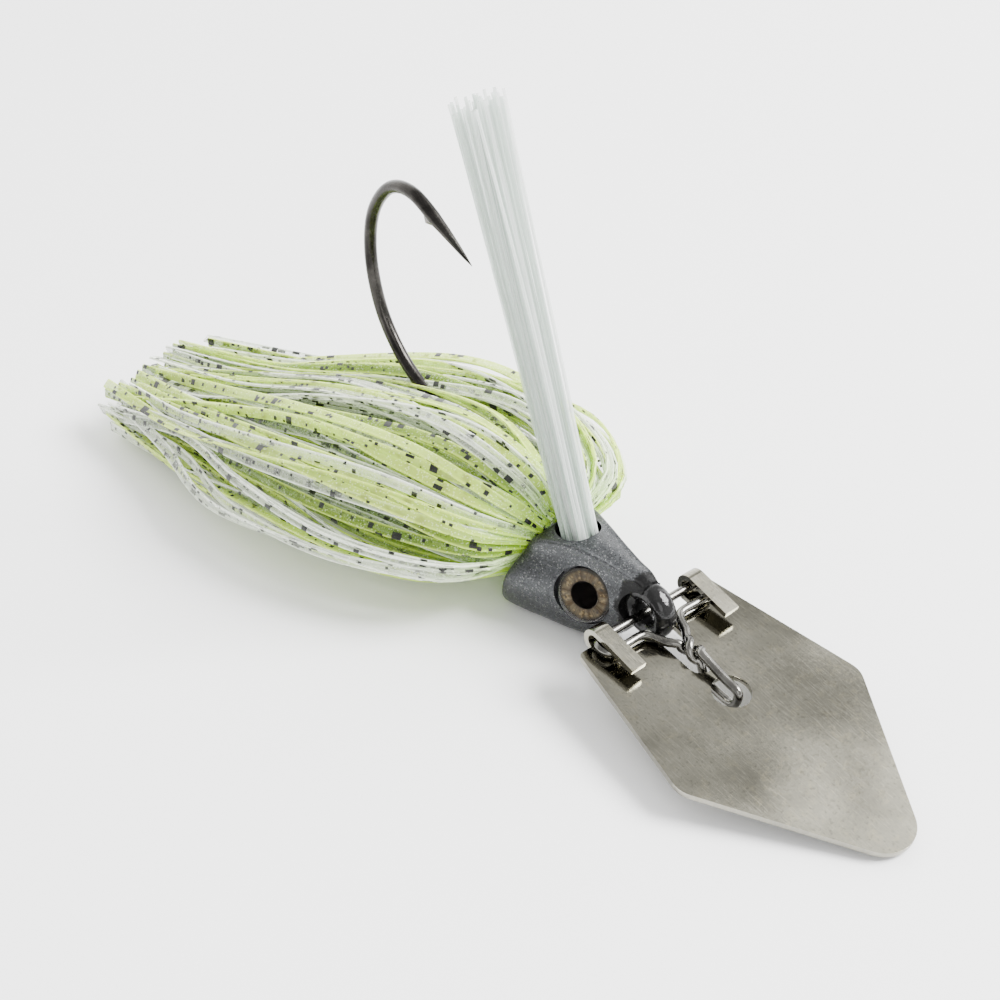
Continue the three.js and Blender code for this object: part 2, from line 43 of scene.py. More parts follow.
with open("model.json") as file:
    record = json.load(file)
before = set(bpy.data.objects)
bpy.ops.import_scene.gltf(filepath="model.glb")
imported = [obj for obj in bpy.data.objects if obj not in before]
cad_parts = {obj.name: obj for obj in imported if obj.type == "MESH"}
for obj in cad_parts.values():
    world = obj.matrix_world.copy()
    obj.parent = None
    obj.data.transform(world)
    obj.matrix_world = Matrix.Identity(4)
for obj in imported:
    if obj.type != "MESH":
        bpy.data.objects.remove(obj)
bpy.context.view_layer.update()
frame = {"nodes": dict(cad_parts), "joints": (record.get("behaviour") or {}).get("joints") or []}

MM = 0.001
JOINTS = {joint["name"]: joint for joint in frame["joints"]}
CROSSBAR = Vector(JOINTS["link_swing"]["pos_m"])
BLADE_PITCH = math.radians(7.5)
SKIRT_NODES = sorted(name for name in frame["nodes"] if name.startswith("skirt_strands"))
GUARD_NODES = sorted(name for name in frame["nodes"] if name.startswith("guard_bristles"))


def at(x, y, z):
    """A point given in millimetres from the crossbar's axis, z from 0.2 mm above it."""
    return CROSSBAR + Vector((x, y, z + 0.2)) * MM


def on_link(x, y, z):
    """A point given in millimetres in the blade's own plane axes, pitched nose-down."""
    turned = Matrix.Rotation(BLADE_PITCH, 3, "Y") @ Vector((x, y, z))
    return CROSSBAR + turned * MM


# ---- sizes ---------------------------------------------------------------------------------


def length(name, description, default):
    """A length in metres, given here in millimetres."""
    return FloatProperty(
        name=name, description=description, default=default * MM, precision=5,
        unit="LENGTH", subtype="DISTANCE")


def angle(name, description, default):
    return FloatProperty(
        name=name, description=description, default=math.radians(default),
        unit="ROTATION", subtype="ANGLE")


def share(name, description, default):
    return FloatProperty(name=name, description=description, default=default, subtype="FACTOR")


class HookSizes(bpy.types.PropertyGroup):
    wire: length("Wire", "Diameter of the hook wire", 1.3)
    ring_radius: length("Ring radius", "Centre line radius of the ring eye", 1.95)
    ring_tube: length("Ring tube", "Radius of the coated ring's wire", 0.9)
    taper: length("Taper", "Length of the ground taper behind the point", 6.2)
    lumps: length("Lumps", "Unevenness of the ring's thick coating", 0.07)


class HeadSizes(bpy.types.PropertyGroup):
    bevel: length("Bevel", "Round on the edges of the cast openings", 0.16)
    socket: length("Socket", "Radius of the weed guard's socket", 2.15)
    notch: length("Notch", "Radius of the nose's notch round the ring eye", 2.2)


class EyeSizes(bpy.types.PropertyGroup):
    radius: length("Radius", "Radius of the eye's iris", 2.7)
    recess: length("Recess", "Depth of the recess for the eye", 0.95)
    dome: length("Dome", "Height of the clear dome", 0.75)


class GuardSizes(bpy.types.PropertyGroup):
    bristle: length("Bristle", "Diameter of one bristle", 0.31)
    length: length("Length", "Length of the longest bristle", 41.4)
    lean: angle("Lean", "Lean back from upright", 21)
    fan: share("Fan", "How much wider the bundle is at its top", 1.42)


class SkirtSizes(bpy.types.PropertyGroup):
    width: length("Width", "Width of one strand", 1.08)
    thickness: length("Thickness", "Thickness of one strand", 0.34)
    root_radius: length("Root radius", "Distance of the strands' roots from the shank", 4.3)
    per_bunch: IntProperty(name="Per bunch", description="Strands in a bunch", default=8)
    band: length("Band", "Centre line radius of the rubber band", 3.15)
    band_tube: length("Band tube", "Radius of the band's rubber", 0.55)


class LinkSizes(bpy.types.PropertyGroup):
    wire: length("Wire", "Diameter of the link's wire", 0.86)
    twist: length("Twist", "Radius that the two rods wind at", 0.52)


class BladeSizes(bpy.types.PropertyGroup):
    sheet: length("Sheet", "Thickness of the blade's sheet", 0.55)
    roll: length("Roll", "Inside radius of the rolled tabs", 0.74)
    rim: length("Rim", "Round on the blade's edges", 0.15)


class StageSizes(bpy.types.PropertyGroup):
    lens: FloatProperty(name="Lens", description="Focal length on a 36 mm sensor", default=61.2)
    floor: length("Floor", "Width of the floor", 6000)


# ---- modelling helpers ---------------------------------------------------------------------


def deselect():
    if bpy.context.object and bpy.context.object.mode != "OBJECT":
        bpy.ops.object.mode_set(mode="OBJECT")
    bpy.ops.object.select_all(action="DESELECT")


def activate(piece, *others):
    deselect()
    for other in (piece, *others):
        other.select_set(True)
    bpy.context.view_layer.objects.active = piece


def edit(piece):
    activate(piece)
    bpy.ops.object.mode_set(mode="EDIT")
    bpy.ops.mesh.select_all(action="SELECT")


def leave_edit():
    bpy.ops.object.mode_set(mode="OBJECT")


def face_outward():
    bpy.ops.mesh.select_all(action="SELECT")
    bpy.ops.mesh.normals_make_consistent(inside=False)
    leave_edit()


def extrude(along):
    bpy.ops.mesh.extrude_region_move(TRANSFORM_OT_translate={"value": along})


def named(name):
    made = bpy.context.object
    made.name = name
    made.data.name = name
    return made


def primitive(kind, name, **settings):
    """Adds one of the basic meshes."""
    deselect()
    getattr(bpy.ops.mesh, f"primitive_{kind}_add")(**settings)
    return named(name)


def apply_place(piece):
    activate(piece)
    bpy.ops.object.transform_apply(location=True, rotation=True, scale=True)
    return piece


def modify(piece, kind, **settings):
    """Adds a modifier and applies it."""
    activate(piece)
    modifier = piece.modifiers.new(kind.title(), kind)
    for key, value in settings.items():
        setattr(modifier, key, value)
    bpy.ops.object.modifier_apply(modifier=modifier.name)
    return piece


def boolean(piece, tool, operation="DIFFERENCE"):
    modify(piece, "BOOLEAN", operation=operation, object=tool, solver="EXACT")
    bpy.data.objects.remove(tool)
    return piece


def round_edges(piece, width, segments=2, limit=35):
    return modify(
        piece, "BEVEL", width=width, segments=segments, limit_method="ANGLE",
        angle_limit=math.radians(limit))


def join(pieces, name):
    activate(pieces[0], *pieces[1:])
    if len(pieces) > 1:
        bpy.ops.object.join()
    return named(name)


def place_vertices(piece, points):
    piece.data.vertices.foreach_set("co", np.array(points, np.float32).ravel())
    piece.data.update()


def outline_face(name, points):
    """A filled face with the given corners, in order."""
    made = primitive("circle", name, vertices=len(points), fill_type="NGON")
    place_vertices(made, points)
    return made


def extruded(name, points, along):
    made = outline_face(name, points)
    edit(made)
    extrude(along)
    face_outward()
    return made


def rod(name, start, end, radius, sides=48, end_radius=None):
    """A cylinder or cone between two points."""
    along = end - start
    return apply_place(primitive(
        "cone", name, vertices=sides, radius1=radius,
        radius2=radius if end_radius is None else end_radius, depth=along.length,
        location=(start + end) / 2, rotation=along.to_track_quat("Z", "Y").to_euler()))


def smooth_line(points, per_span):
    """Points along a Catmull-Rom line through the given ones."""
    p = np.array(points, float)
    p = np.vstack([2 * p[0] - p[1], p, 2 * p[-1] - p[-2]])
    line = []
    for i in range(1, len(p) - 2):
        for step in range(per_span):
            line.append(hermite(*p[i - 1:i + 3], step / per_span))
    line.append(p[-2])
    return np.array(line)


def hermite(before, start, end, after, t):
    go, stop = 0.5 * (end - before), 0.5 * (after - start)
    return ((2 * t**3 - 3 * t**2 + 1) * start + (t**3 - 2 * t**2 + t) * go
            + (3 * t**2 - 2 * t**3) * end + (t**3 - t**2) * stop)


def resample(line, count):
    """The same line with points at even distances."""
    gone = np.concatenate([[0], np.cumsum(np.linalg.norm(np.diff(line, axis=0), axis=1))])
    wanted = np.linspace(0, gone[-1], count)
    return np.stack([np.interp(wanted, gone, line[:, k]) for k in range(3)], 1)


def wire(name, line, radius, thin=None, resolution=5):
    """A round wire along a line. thin(share) gives its radius as a share of radius."""
    curve = bpy.data.curves.new(name, "CURVE")
    curve.dimensions = "3D"
    curve.bevel_depth = radius
    curve.bevel_resolution = resolution
    curve.use_fill_caps = True
    spline = curve.splines.new("POLY")
    spline.points.add(len(line) - 1)
    for i, (point, place) in enumerate(zip(spline.points, line)):
        point.co = (*place, 1)
        point.radius = thin(i / (len(line) - 1)) if thin else 1
    made = bpy.data.objects.new(name, curve)
    bpy.context.scene.collection.objects.link(made)
    activate(made)
    bpy.ops.object.convert(target="MESH")
    return named(name)


def finished(piece, body, nodes, material, smooth=30, flat_faces=False):
    """Sets a piece's place, shading, material, body and the CAD nodes that it stands for."""
    apply_place(piece)
    edit(piece)
    face_outward()
    bpy.ops.object.shade_smooth_by_angle(angle=math.radians(smooth))
    if flat_faces:
        modify(piece, "WEIGHTED_NORMAL", weight=100, keep_sharp=True)
    if material is not None:
        piece.data.materials.clear()
        piece.data.materials.append(material)
    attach(piece, body)
    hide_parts(*nodes)
    return piece


# ---- shading helpers -----------------------------------------------------------------------


def add_node(tree, kind, inputs=None, **settings):
    made = tree.nodes.new("ShaderNode" + kind)
    for key, value in settings.items():
        setattr(made, key, value)
    for key, value in (inputs or {}).items():
        feed(tree, made.inputs[key], value)
    return made


def feed(tree, socket, value):
    if isinstance(value, bpy.types.NodeSocket):
        tree.links.new(value, socket)
    else:
        socket.default_value = value


def maths(tree, operation, *values, clamp=False):
    made = add_node(tree, "Math", operation=operation, use_clamp=clamp)
    for socket, value in zip(made.inputs, values):
        feed(tree, socket, value)
    return made.outputs[0]


def scaled(tree, value, factor, offset):
    return maths(tree, "MULTIPLY_ADD", value, factor, offset)


def product(tree, first, second):
    return maths(tree, "MULTIPLY", first, second)


def vector_maths(tree, operation, *values):
    made = add_node(tree, "VectorMath", operation=operation)
    for socket, value in zip(made.inputs, values):
        feed(tree, socket, value)
    return made.outputs


def attribute(tree, name):
    return add_node(tree, "Attribute", attribute_name=name).outputs["Fac"]


def shade(tree, node, **values):
    """Feeds a node's inputs, whose names have _ for a space."""
    for key, value in values.items():
        feed(tree, node.inputs[key.replace("_", " ")], value)


def noise(tree, vector, scale, detail, roughness=0.5, distortion=0.0):
    made = add_node(tree, "TexNoise")
    shade(tree, made, Vector=vector, Scale=scale, Detail=detail, Roughness=roughness,
          Distortion=distortion)
    return made.outputs["Fac"]


def cells(tree, vector, scale, **settings):
    """Random cells: the distance from their middles, and three random values of each."""
    made = add_node(tree, "TexVoronoi", {"Vector": vector, "Scale": scale}, **settings).outputs
    return made["Distance"], add_node(tree, "SeparateColor", {"Color": made["Color"]}).outputs


def facing(tree, blend):
    return add_node(tree, "LayerWeight", {"Blend": blend}).outputs["Facing"]


def mix(tree, factor, first, second):
    """Mixes two colours."""
    made = add_node(tree, "Mix", data_type="RGBA")
    feed(tree, made.inputs["Factor"], factor)
    for socket, value in zip([s for s in made.inputs if s.type == "RGBA"], (first, second)):
        feed(tree, socket, value)
    return [s for s in made.outputs if s.type == "RGBA"][0]


def layered(tree, base, *coats):
    """Lays colours over the base one after another, each with its own cover."""
    for cover, colour in coats:
        base = mix(tree, cover, base, colour)
    return base


def spread(tree, value, low, high, to_low=0.0, to_high=1.0, smooth=False):
    made = add_node(tree, "MapRange", {
        "Value": value, "From Min": low, "From Max": high, "To Min": to_low, "To Max": to_high})
    made.interpolation_type = "SMOOTHSTEP" if smooth else "LINEAR"
    return made.outputs["Result"]


def grey(value):
    return (value, value, value, 1)


def new_group(name, inputs, outputs):
    """An empty shared shader group with its sockets."""
    tree = bpy.data.node_groups.new(name, "ShaderNodeTree")
    for label, kind, value in inputs:
        socket = tree.interface.new_socket(label, in_out="INPUT", socket_type="NodeSocket" + kind)
        if value is not None:
            socket.default_value = value
    for label, kind in outputs:
        tree.interface.new_socket(label, in_out="OUTPUT", socket_type="NodeSocket" + kind)
    return tree, tree.nodes.new("NodeGroupInput").outputs, tree.nodes.new("NodeGroupOutput").inputs


def use_group(tree, name, **inputs):
    made = tree.nodes.new("ShaderNodeGroup")
    made.node_tree = bpy.data.node_groups[name]
    shade(tree, made, **inputs)
    return made.outputs


def mottle(tree, vector, scale, fine):
    return use_group(tree, "Mottle", Vector=vector, Scale=scale, Fine=fine)


def build_mottle():
    """Cloudy light and dark patches, with finer ones inside them."""
    tree, given, out = new_group(
        "Mottle", [("Vector", "Vector", None), ("Scale", "Float", 200.0), ("Fine", "Float", 5.0)],
        [("Clouds", "Float"), ("Grain", "Float")])
    big = noise(tree, given["Vector"], given["Scale"], 4.0, 0.6, 0.4)
    fine_scale = product(tree, given["Scale"], given["Fine"])
    fine = noise(tree, given["Vector"], fine_scale, 6.0, 0.7)
    tree.links.new(spread(tree, big, 0.3, 0.7), out["Clouds"])
    tree.links.new(spread(tree, fine, 0.3, 0.7), out["Grain"])


def build_scratches():
    """Fine streaks, stretched along X and again at an angle to it."""
    tree, given, out = new_group(
        "Scratches", [("Vector", "Vector", None), ("Scale", "Float", 900.0)], [("Marks", "Float")])
    marks = []
    for turn, squeeze in ((0.35, 14.0), (-0.8, 9.0)):
        moved = add_node(tree, "Mapping", {
            "Vector": given["Vector"], "Rotation": (0, 0, turn), "Scale": (1, squeeze, 1)})
        streaks = noise(tree, moved.outputs["Vector"], given["Scale"], 3.0)
        marks.append(spread(tree, streaks, 0.56, 0.7))
    tree.links.new(maths(tree, "MAXIMUM", *marks), out["Marks"])


def build_sparkle():
    """Small cells of random brightness, and the few brightest of them."""
    tree, given, out = new_group(
        "Sparkle", [("Vector", "Vector", None), ("Scale", "Float", 6000.0),
                    ("Share", "Float", 0.1)],
        [("Random", "Float"), ("Sparks", "Float")])
    _, chance = cells(tree, given["Vector"], given["Scale"])
    limit = maths(tree, "SUBTRACT", 1.0, given["Share"])
    tree.links.new(chance["Red"], out["Random"])
    tree.links.new(maths(tree, "GREATER_THAN", chance["Green"], limit), out["Sparks"])


def build_flakes():
    """Black flat flakes scattered over a strand, in the strand's own surface map."""
    tree, given, out = new_group(
        "Flakes", [("Map", "Vector", None), ("Share", "Float", 0.5)],
        [("Flakes", "Float"), ("Glitter", "Float")])
    masks = []
    for scale, size, least in ((0.45, 0.16, 0.45), (1.1, 0.18, 0.76)):
        distance, chance = cells(tree, given["Map"], scale,
                                 voronoi_dimensions="2D", distance="CHEBYCHEV")
        limit = scaled(tree, chance["Blue"], size, size * 0.45)
        near = maths(tree, "LESS_THAN", distance, limit)
        rarity = maths(tree, "SUBTRACT", 1 + least - 0.5, given["Share"])
        present = maths(tree, "GREATER_THAN", chance["Red"], rarity)
        masks.append(product(tree, near, present))
    tree.links.new(maths(tree, "MAXIMUM", *masks), out["Flakes"])
    _, chance = cells(tree, given["Map"], 9.0, voronoi_dimensions="2D")
    tree.links.new(maths(tree, "GREATER_THAN", chance["Green"], 0.92), out["Glitter"])


def new_material(name, **uniform):
    """A material with one Principled shader. uniform sets its plain values."""
    material = bpy.data.materials.new(name)
    material.use_nodes = True
    tree = material.node_tree
    shader = tree.nodes["Principled BSDF"]
    shade(tree, shader, **uniform)
    return material, tree, shader, add_node(tree, "TexCoord").outputs["Object"]


def bump(tree, node, height, strength, distance=0.00005):
    """A bump, fed to a shader or to another bump."""
    made = add_node(tree, "Bump", {"Height": height, "Strength": strength, "Distance": distance})
    shade(tree, node, Normal=made.outputs["Normal"])
    return made


def metal_material(name, dark, light, rough, scale, scratch):
    """Bare or plated metal: cloudy tone, uneven gloss and fine scratches."""
    material, tree, shader, position = new_material(name, Metallic=1.0)
    cloud = mottle(tree, position, scale, 7.0)
    marks = use_group(tree, "Scratches", Vector=position, Scale=1300.0)["Marks"]
    tone = layered(tree, dark, (cloud["Clouds"], light), (product(tree, marks, scratch), light))
    gloss = scaled(tree, cloud["Grain"], 0.14, rough)
    shade(tree, shader, Base_Color=tone, Roughness=scaled(tree, marks, 0.12, gloss))
    bump(tree, shader, scaled(tree, marks, scratch, cloud["Grain"]), 0.12)
    return material


def blade_material(name, edge_highlight):
    """Polished sheet steel with a yellowish tarnish in clouds, grain and fine scratches. The last
    argument mixes a light colour in all over: a painted highlight, used for the cut edges.
    """
    material, tree, shader, position = new_material(name, Metallic=1.0)
    cloud = mottle(tree, position, 130.0, 9.0)
    fine = mottle(tree, position, 900.0, 3.0)
    marks = use_group(tree, "Scratches", Vector=position, Scale=700.0)["Marks"]
    tarnish = layered(
        tree, (0.15, 0.144, 0.116, 1),
        (cloud["Clouds"], (0.265, 0.255, 0.205, 1)),
        (spread(tree, fine["Clouds"], 0.55, 1.0, 0, 0.35), (0.29, 0.265, 0.18, 1)),
        (spread(tree, fine["Grain"], 0.6, 0.95, 0, 0.6), (0.085, 0.082, 0.065, 1)),
        (product(tree, marks, 0.3), (0.36, 0.345, 0.28, 1)),
        # painted highlight: a light colour mixed in for the cut edges
        (edge_highlight, (0.62, 0.60, 0.54, 1)))
    gloss = scaled(tree, cloud["Clouds"], 0.07, 0.04)
    shade(tree, shader, Base_Color=tarnish, Roughness=scaled(tree, fine["Grain"], 0.04, gloss))
    waves = scaled(tree, marks, 0.6, fine["Grain"])
    fine_bump = bump(tree, shader, waves, 0.07, 0.00003)
    bump(tree, fine_bump, noise(tree, position, 75.0, 1.0), 1.0, 0.00045)
    return material


def powder_material():
    """Satin grey powder coat with a metallic sparkle, glossy black where the ring's coating
    has crept over the nose."""
    material, tree, shader, position = new_material("powder_coat")
    spark = use_group(tree, "Sparkle", Vector=position, Scale=9500.0, Share=0.075)
    cloud = mottle(tree, position, 600.0, 6.0)
    reach = vector_maths(tree, "DISTANCE", position, at(0.6, 0, 0.4))["Value"]
    edge = scaled(tree, cloud["Clouds"], 0.9 * MM, reach)
    coated = spread(tree, edge, 3.9 * MM, 4.15 * MM, 1, 0)
    base = layered(
        tree, (0.030, 0.032, 0.034, 1),
        (spark["Random"], (0.075, 0.078, 0.082, 1)),
        (product(tree, spark["Sparks"], 0.5), grey(0.25)),
        (spread(tree, cloud["Clouds"], 0.5, 1, 0, 0.35), grey(0.025)),
        (coated, grey(0.006)))
    gloss = scaled(tree, spark["Random"], 0.16, 0.27)
    shade(tree, shader, Base_Color=base, Roughness=scaled(tree, coated, -0.24, gloss),
          Metallic=scaled(tree, coated, -0.7, 0.7),
          Specular_IOR_Level=scaled(tree, coated, -0.38, 0.5))
    grain = scaled(tree, cloud["Grain"], 0.8, spark["Random"])
    bump(tree, shader, grain, 0.35, 0.00003)
    return material


def coating_material():
    material, tree, shader, position = new_material("ring_coating", Specular_IOR_Level=0.3)
    cloud = mottle(tree, position, 500.0, 4.0)
    tone = mix(tree, cloud["Grain"], grey(0.003), grey(0.009))
    shade(tree, shader, Base_Color=tone, Roughness=scaled(tree, cloud["Clouds"], 0.12, 0.06))
    bump(tree, shader, cloud["Clouds"], 0.3, 0.0002)
    return material


def iris_material():
    """A printed metallic iris: bronze and grey radial flecks round a black pupil."""
    material, tree, shader, _ = new_material("iris_foil")
    uv = add_node(tree, "UVMap").outputs["UV"]
    centred = vector_maths(tree, "SUBTRACT", uv, (0.5, 0.5, 0))["Vector"]
    radius = product(tree, vector_maths(tree, "LENGTH", centred)["Value"], 2.0)
    around = vector_maths(tree, "NORMALIZE", centred)["Vector"]
    rays = noise(tree, around, 5.0, 6.0, 0.7)
    blotch = noise(tree, uv, 9.0, 5.0)
    fleck = use_group(tree, "Sparkle", Vector=uv, Scale=24.0, Share=0.14)
    pupil = spread(tree, radius, 0.5, 0.53, 1, 0)
    iris = layered(
        tree, (0.03, 0.019, 0.008, 1),
        (spread(tree, rays, 0.4, 0.62), (0.095, 0.078, 0.05, 1)),
        (spread(tree, blotch, 0.5, 0.68), (0.022, 0.02, 0.017, 1)),
        (product(tree, fleck["Sparks"], 0.25), (0.26, 0.19, 0.09, 1)),
        (spread(tree, radius, 0.5, 0.62, 0.75, 0, smooth=True), (0.014, 0.009, 0.005, 1)),
        (spread(tree, radius, 0.8, 0.93, 0, 0.9, smooth=True), grey(0.008)),
        (pupil, (0.0015, 0.001, 0.001, 1)))
    shade(tree, shader, Base_Color=iris, Metallic=scaled(tree, pupil, -0.8, 0.8),
          Roughness=scaled(tree, pupil, -0.2, 0.34),
          Specular_IOR_Level=scaled(tree, pupil, -0.49, 0.5))
    return material


def dome_material():
    """A clear dome: only its reflections show, stronger at glancing angles."""
    material, tree, shader, position = new_material(
        "clear_dome", Base_Color=grey(1), Metallic=1.0, Roughness=0.02)
    haze = mottle(tree, position, 600.0, 4.0)["Grain"]
    start = scaled(tree, haze, -0.04, 0.4)
    veil = spread(tree, facing(tree, 0.5), start, 0.9, 0, 0.5)
    inside = add_node(tree, "NewGeometry").outputs["Backfacing"]
    outside = maths(tree, "SUBTRACT", 1.0, inside)
    shade(tree, shader, Alpha=product(tree, veil, outside))
    return material


def bristle_material():
    """Clear nylon: milky, with a painted dark line where it is seen edge-on, standing in for
    refraction.
    """
    material, tree, shader, position = new_material(
        "nylon_bristle", Roughness=0.22, Specular_IOR_Level=0.6)
    cloud = mottle(tree, position, 300.0, 8.0)
    edge = facing(tree, 0.35)
    base = layered(
        tree, (0.58, 0.68, 0.61, 1),
        (attribute(tree, "tone"), grey(1)),
        (product(tree, cloud["Grain"], 0.1), grey(0.6)),
        # painted shade: the base colour darkens where the bristle is seen edge-on
        (spread(tree, edge, 0.55, 0.95, 0, 0.9), (0.18, 0.24, 0.19, 1)))
    shade(tree, shader, Base_Color=base, Alpha=spread(tree, edge, 0.1, 0.8, 0.22, 0.75))
    see_through(tree, shader, base, 0.25)
    return material


def see_through(tree, shader, colour, amount):
    """Lets light through a thin piece, coloured by it."""
    output = tree.nodes["Material Output"]
    glow = add_node(tree, "BsdfTranslucent", {"Color": colour})
    blend = add_node(tree, "MixShader", {"Fac": amount})
    tree.links.new(shader.outputs["BSDF"], blend.inputs[1])
    tree.links.new(glow.outputs["BSDF"], blend.inputs[2])
    tree.links.new(blend.outputs["Shader"], output.inputs["Surface"])


def silicone_material(name, pale, full, root, alpha, glow):
    """Translucent silicone strand with black flakes, silver glitter, a painted highlight on its
    edges, painted shade inside the skirt and towards the band, and a faint painted glow.
    """
    # the 0.1 emission is a painted glow: the strands shine a little in their own colour to look
    # brighter
    material, tree, shader, position = new_material(
        name, Specular_IOR_Level=0.55, Emission_Strength=0.1)
    uv = add_node(tree, "UVMap").outputs["UV"]
    along = attribute(tree, "along")
    spots = use_group(tree, "Flakes", Map=uv, Share=spread(tree, along, 0.3, 0.9, 0.48, 0.66))
    cloud = mottle(tree, position, 260.0, 10.0)
    # rim lightens the strand's edges with the pale colour, a painted highlight for the gloss on the
    # rounded edges; the edges are also less clear
    rim = spread(tree, maths(tree, "ABSOLUTE", attribute(tree, "across")), 0.6, 1.0, 0, 1)
    solid = layered(
        tree, full,
        # full is dark: the inner strands get little pale over it, painted shade inside the skirt
        (attribute(tree, "tone"), pale),
        (product(tree, cloud["Clouds"], 0.25), pale),
        # painted highlight along both edges
        (product(tree, rim, 0.85), pale),
        # painted shade: the strands darken towards the band, where less light reaches
        (spread(tree, along, 0.0, 0.2, 0.75, 0, smooth=True), root),
        (product(tree, spots["Glitter"], 0.3), grey(1)),
        (spots["Flakes"], (0.012, 0.014, 0.01, 1)))
    clear = scaled(tree, spots["Glitter"], 0.3, alpha)
    cover = maths(tree, "MAXIMUM", spots["Flakes"],
                  maths(tree, "MULTIPLY_ADD", rim, 0.9 - alpha, clear, clamp=True))
    # Emission_Color: painted glow in the strand's own colour
    shade(tree, shader, Base_Color=solid, Emission_Color=solid, Alpha=cover,
          Roughness=scaled(tree, cloud["Grain"], 0.15, 0.2))
    grain = maths(tree, "ADD", cloud["Grain"], spots["Glitter"])
    bump(tree, shader, grain, 0.2, 0.00004)
    see_through(tree, shader, solid, glow)
    return material


def plain_rough_material(name, dark, light, rough):
    """Rubber or glue: small light and dark patches."""
    material, tree, shader, position = new_material(name)
    cloud = mottle(tree, position, 600.0, 6.0)
    shade(tree, shader, Base_Color=mix(tree, cloud["Clouds"], dark, light),
          Roughness=scaled(tree, cloud["Grain"], 0.2, rough))
    bump(tree, shader, cloud["Grain"], 0.3, 0.0001)
    return material


def build_groups():
    build_mottle()
    build_scratches()
    build_sparkle()
    build_flakes()


# ---- the pieces ----------------------------------------------------------------------------


class PieceOperator:
    """What the operators share: they stop the script when modelling fails."""

    bl_options = {"REGISTER", "UNDO"}

    def execute(self, context):
        self.build(context.scene)
        return {"FINISHED"}


HOOK_LINE = [
    (-1.9, 0.1), (-4.6, -1.9), (-8.2, -2.6), (-12.6, -1.0), (-20, 2.0), (-27.5, 5.0),
    (-33, 7.4), (-36.7, 9.8), (-39.6, 13.7), (-40.9, 18.9), (-40.2, 24.0), (-37.4, 27.8),
    (-33.8, 28.8), (-29.6, 27.1), (-25.0, 24.8)]
BARB_LINE = [(-29.3, 26.75), (-31.9, 27.5), (-31.6, 26.55), (-30.6, 26.7)]
RING_X, RING_Z = 0.3, 0.25
RING_STRETCH = 1.28  # sideways, along the ring's own axis


class LURE_OT_hook(PieceOperator, bpy.types.Operator):
    """Hook wire with its ground point and barb, and the coated ring eye"""

    bl_idname = "lure.hook"
    bl_label = "Hook"

    def build(self, scene):
        sizes = scene.lure_hook
        line = resample(smooth_line([at(x, 0, z) for x, z in HOOK_LINE], 14), 190)
        total = np.linalg.norm(np.diff(line, axis=0), axis=1).sum()

        def thin(along):
            left = (1 - along) * total / sizes.taper
            return 1.0 if left >= 1 else max(0.045, left**0.72)

        shank = wire("hook_look", line, sizes.wire / 2, thin, resolution=6)
        barb = self.barb()
        ring = self.ring(sizes)
        shank.data.materials.append(metal_material(
            "black_nickel", (0.013, 0.012, 0.011, 1), (0.052, 0.049, 0.045, 1), 0.14, 260.0, 0.35))
        barb.data.materials.append(bpy.data.materials["black_nickel"])
        ring.data.materials.append(coating_material())
        hook = join([shank, barb, ring], "hook_look")
        finished(hook, "jig_head", ["hook"], None, smooth=50)

    def barb(self):
        """A sliver raised from the wire behind the point."""
        made = extruded("barb", [at(x, -0.22, z) for x, z in BARB_LINE], (0, 0.44 * MM, 0))
        return round_edges(made, 0.05 * MM)

    def ring(self, sizes):
        ring = primitive(
            "torus", "ring", location=at(RING_X, 0, RING_Z), rotation=(math.pi / 2, 0, 0),
            major_segments=72, minor_segments=28, major_radius=sizes.ring_radius,
            minor_radius=sizes.ring_tube)
        ring.scale = (1, 1, RING_STRETCH)
        apply_place(ring)
        lumps = bpy.data.textures.new("coating_lumps", "CLOUDS")
        lumps.noise_scale = 1.6 * MM
        return modify(ring, "DISPLACE", texture=lumps, strength=sizes.lumps * 2, mid_level=0.5)


HEAD_SECTIONS = [
    # x, lean, then y and z of the top, ridge, cheek, low and bottom points
    (-13.1, 0.27, (0, 2.8), (3.2, 2.2), (5.3, -1.2), (4.4, -4.5), (0, -4.9)),
    (-12.3, 0.27, (0, 3.7), (3.7, 2.9), (6.1, -1.4), (5.0, -5.3), (0, -5.7)),
    (-8.8, 0.15, (0, 4.0), (2.6, 3.6), (4.5, -1.3), (3.8, -5.4), (0, -5.7)),
    (-5.4, 0.05, (0, 4.0), (1.8, 3.6), (3.2, -1.1), (2.6, -5.2), (0, -5.5)),
    (-2.6, 0, (0, 3.8), (1.3, 3.4), (2.2, -0.3), (1.6, -3.8), (0, -4.2)),
    (-0.9, 0, (0, 3.6), (1.1, 3.3), (1.6, 1.0), (1.2, -1.6), (0, -2.0)),
    (0.2, 0, (0, 3.3), (0.8, 3.05), (1.2, 2.5), (0.9, 1.9), (0, 1.6))]
EYE_CENTRE = (-5.6, 3.0, -0.55)
EYE_NORMAL = (0.33, 0.91, 0.25)
EYE_GAP = 0.25  # between the iris and the rim of its recess
GUARD_FOOT = (-9.5, 0, 3.2)
SHANK_START = (-12.6, 0, -1.0)
SHANK_SLOPE = math.radians(22)
SHANK_BACK = Vector((-math.cos(SHANK_SLOPE), 0, math.sin(SHANK_SLOPE)))
SHANK_UP = Vector((math.sin(SHANK_SLOPE), 0, math.cos(SHANK_SLOPE)))
SOCKET_DEPTH = 3.2  # below the guard's foot
COLLAR = [(-2, 6.6, 2.3, 2.3), (5.6, 6.6, 2.9, 2.3)]  # start, end, first and last radius


def guard_axis(lean):
    return Vector((-math.sin(lean), 0, math.cos(lean)))


def eye_point(side, height):
    normal = Vector((EYE_NORMAL[0], side * EYE_NORMAL[1], EYE_NORMAL[2])).normalized()
    centre = at(EYE_CENTRE[0], side * EYE_CENTRE[1], EYE_CENTRE[2])
    return centre + normal * height


def along_shank(distance):
    return at(*SHANK_START) + SHANK_BACK * distance * MM


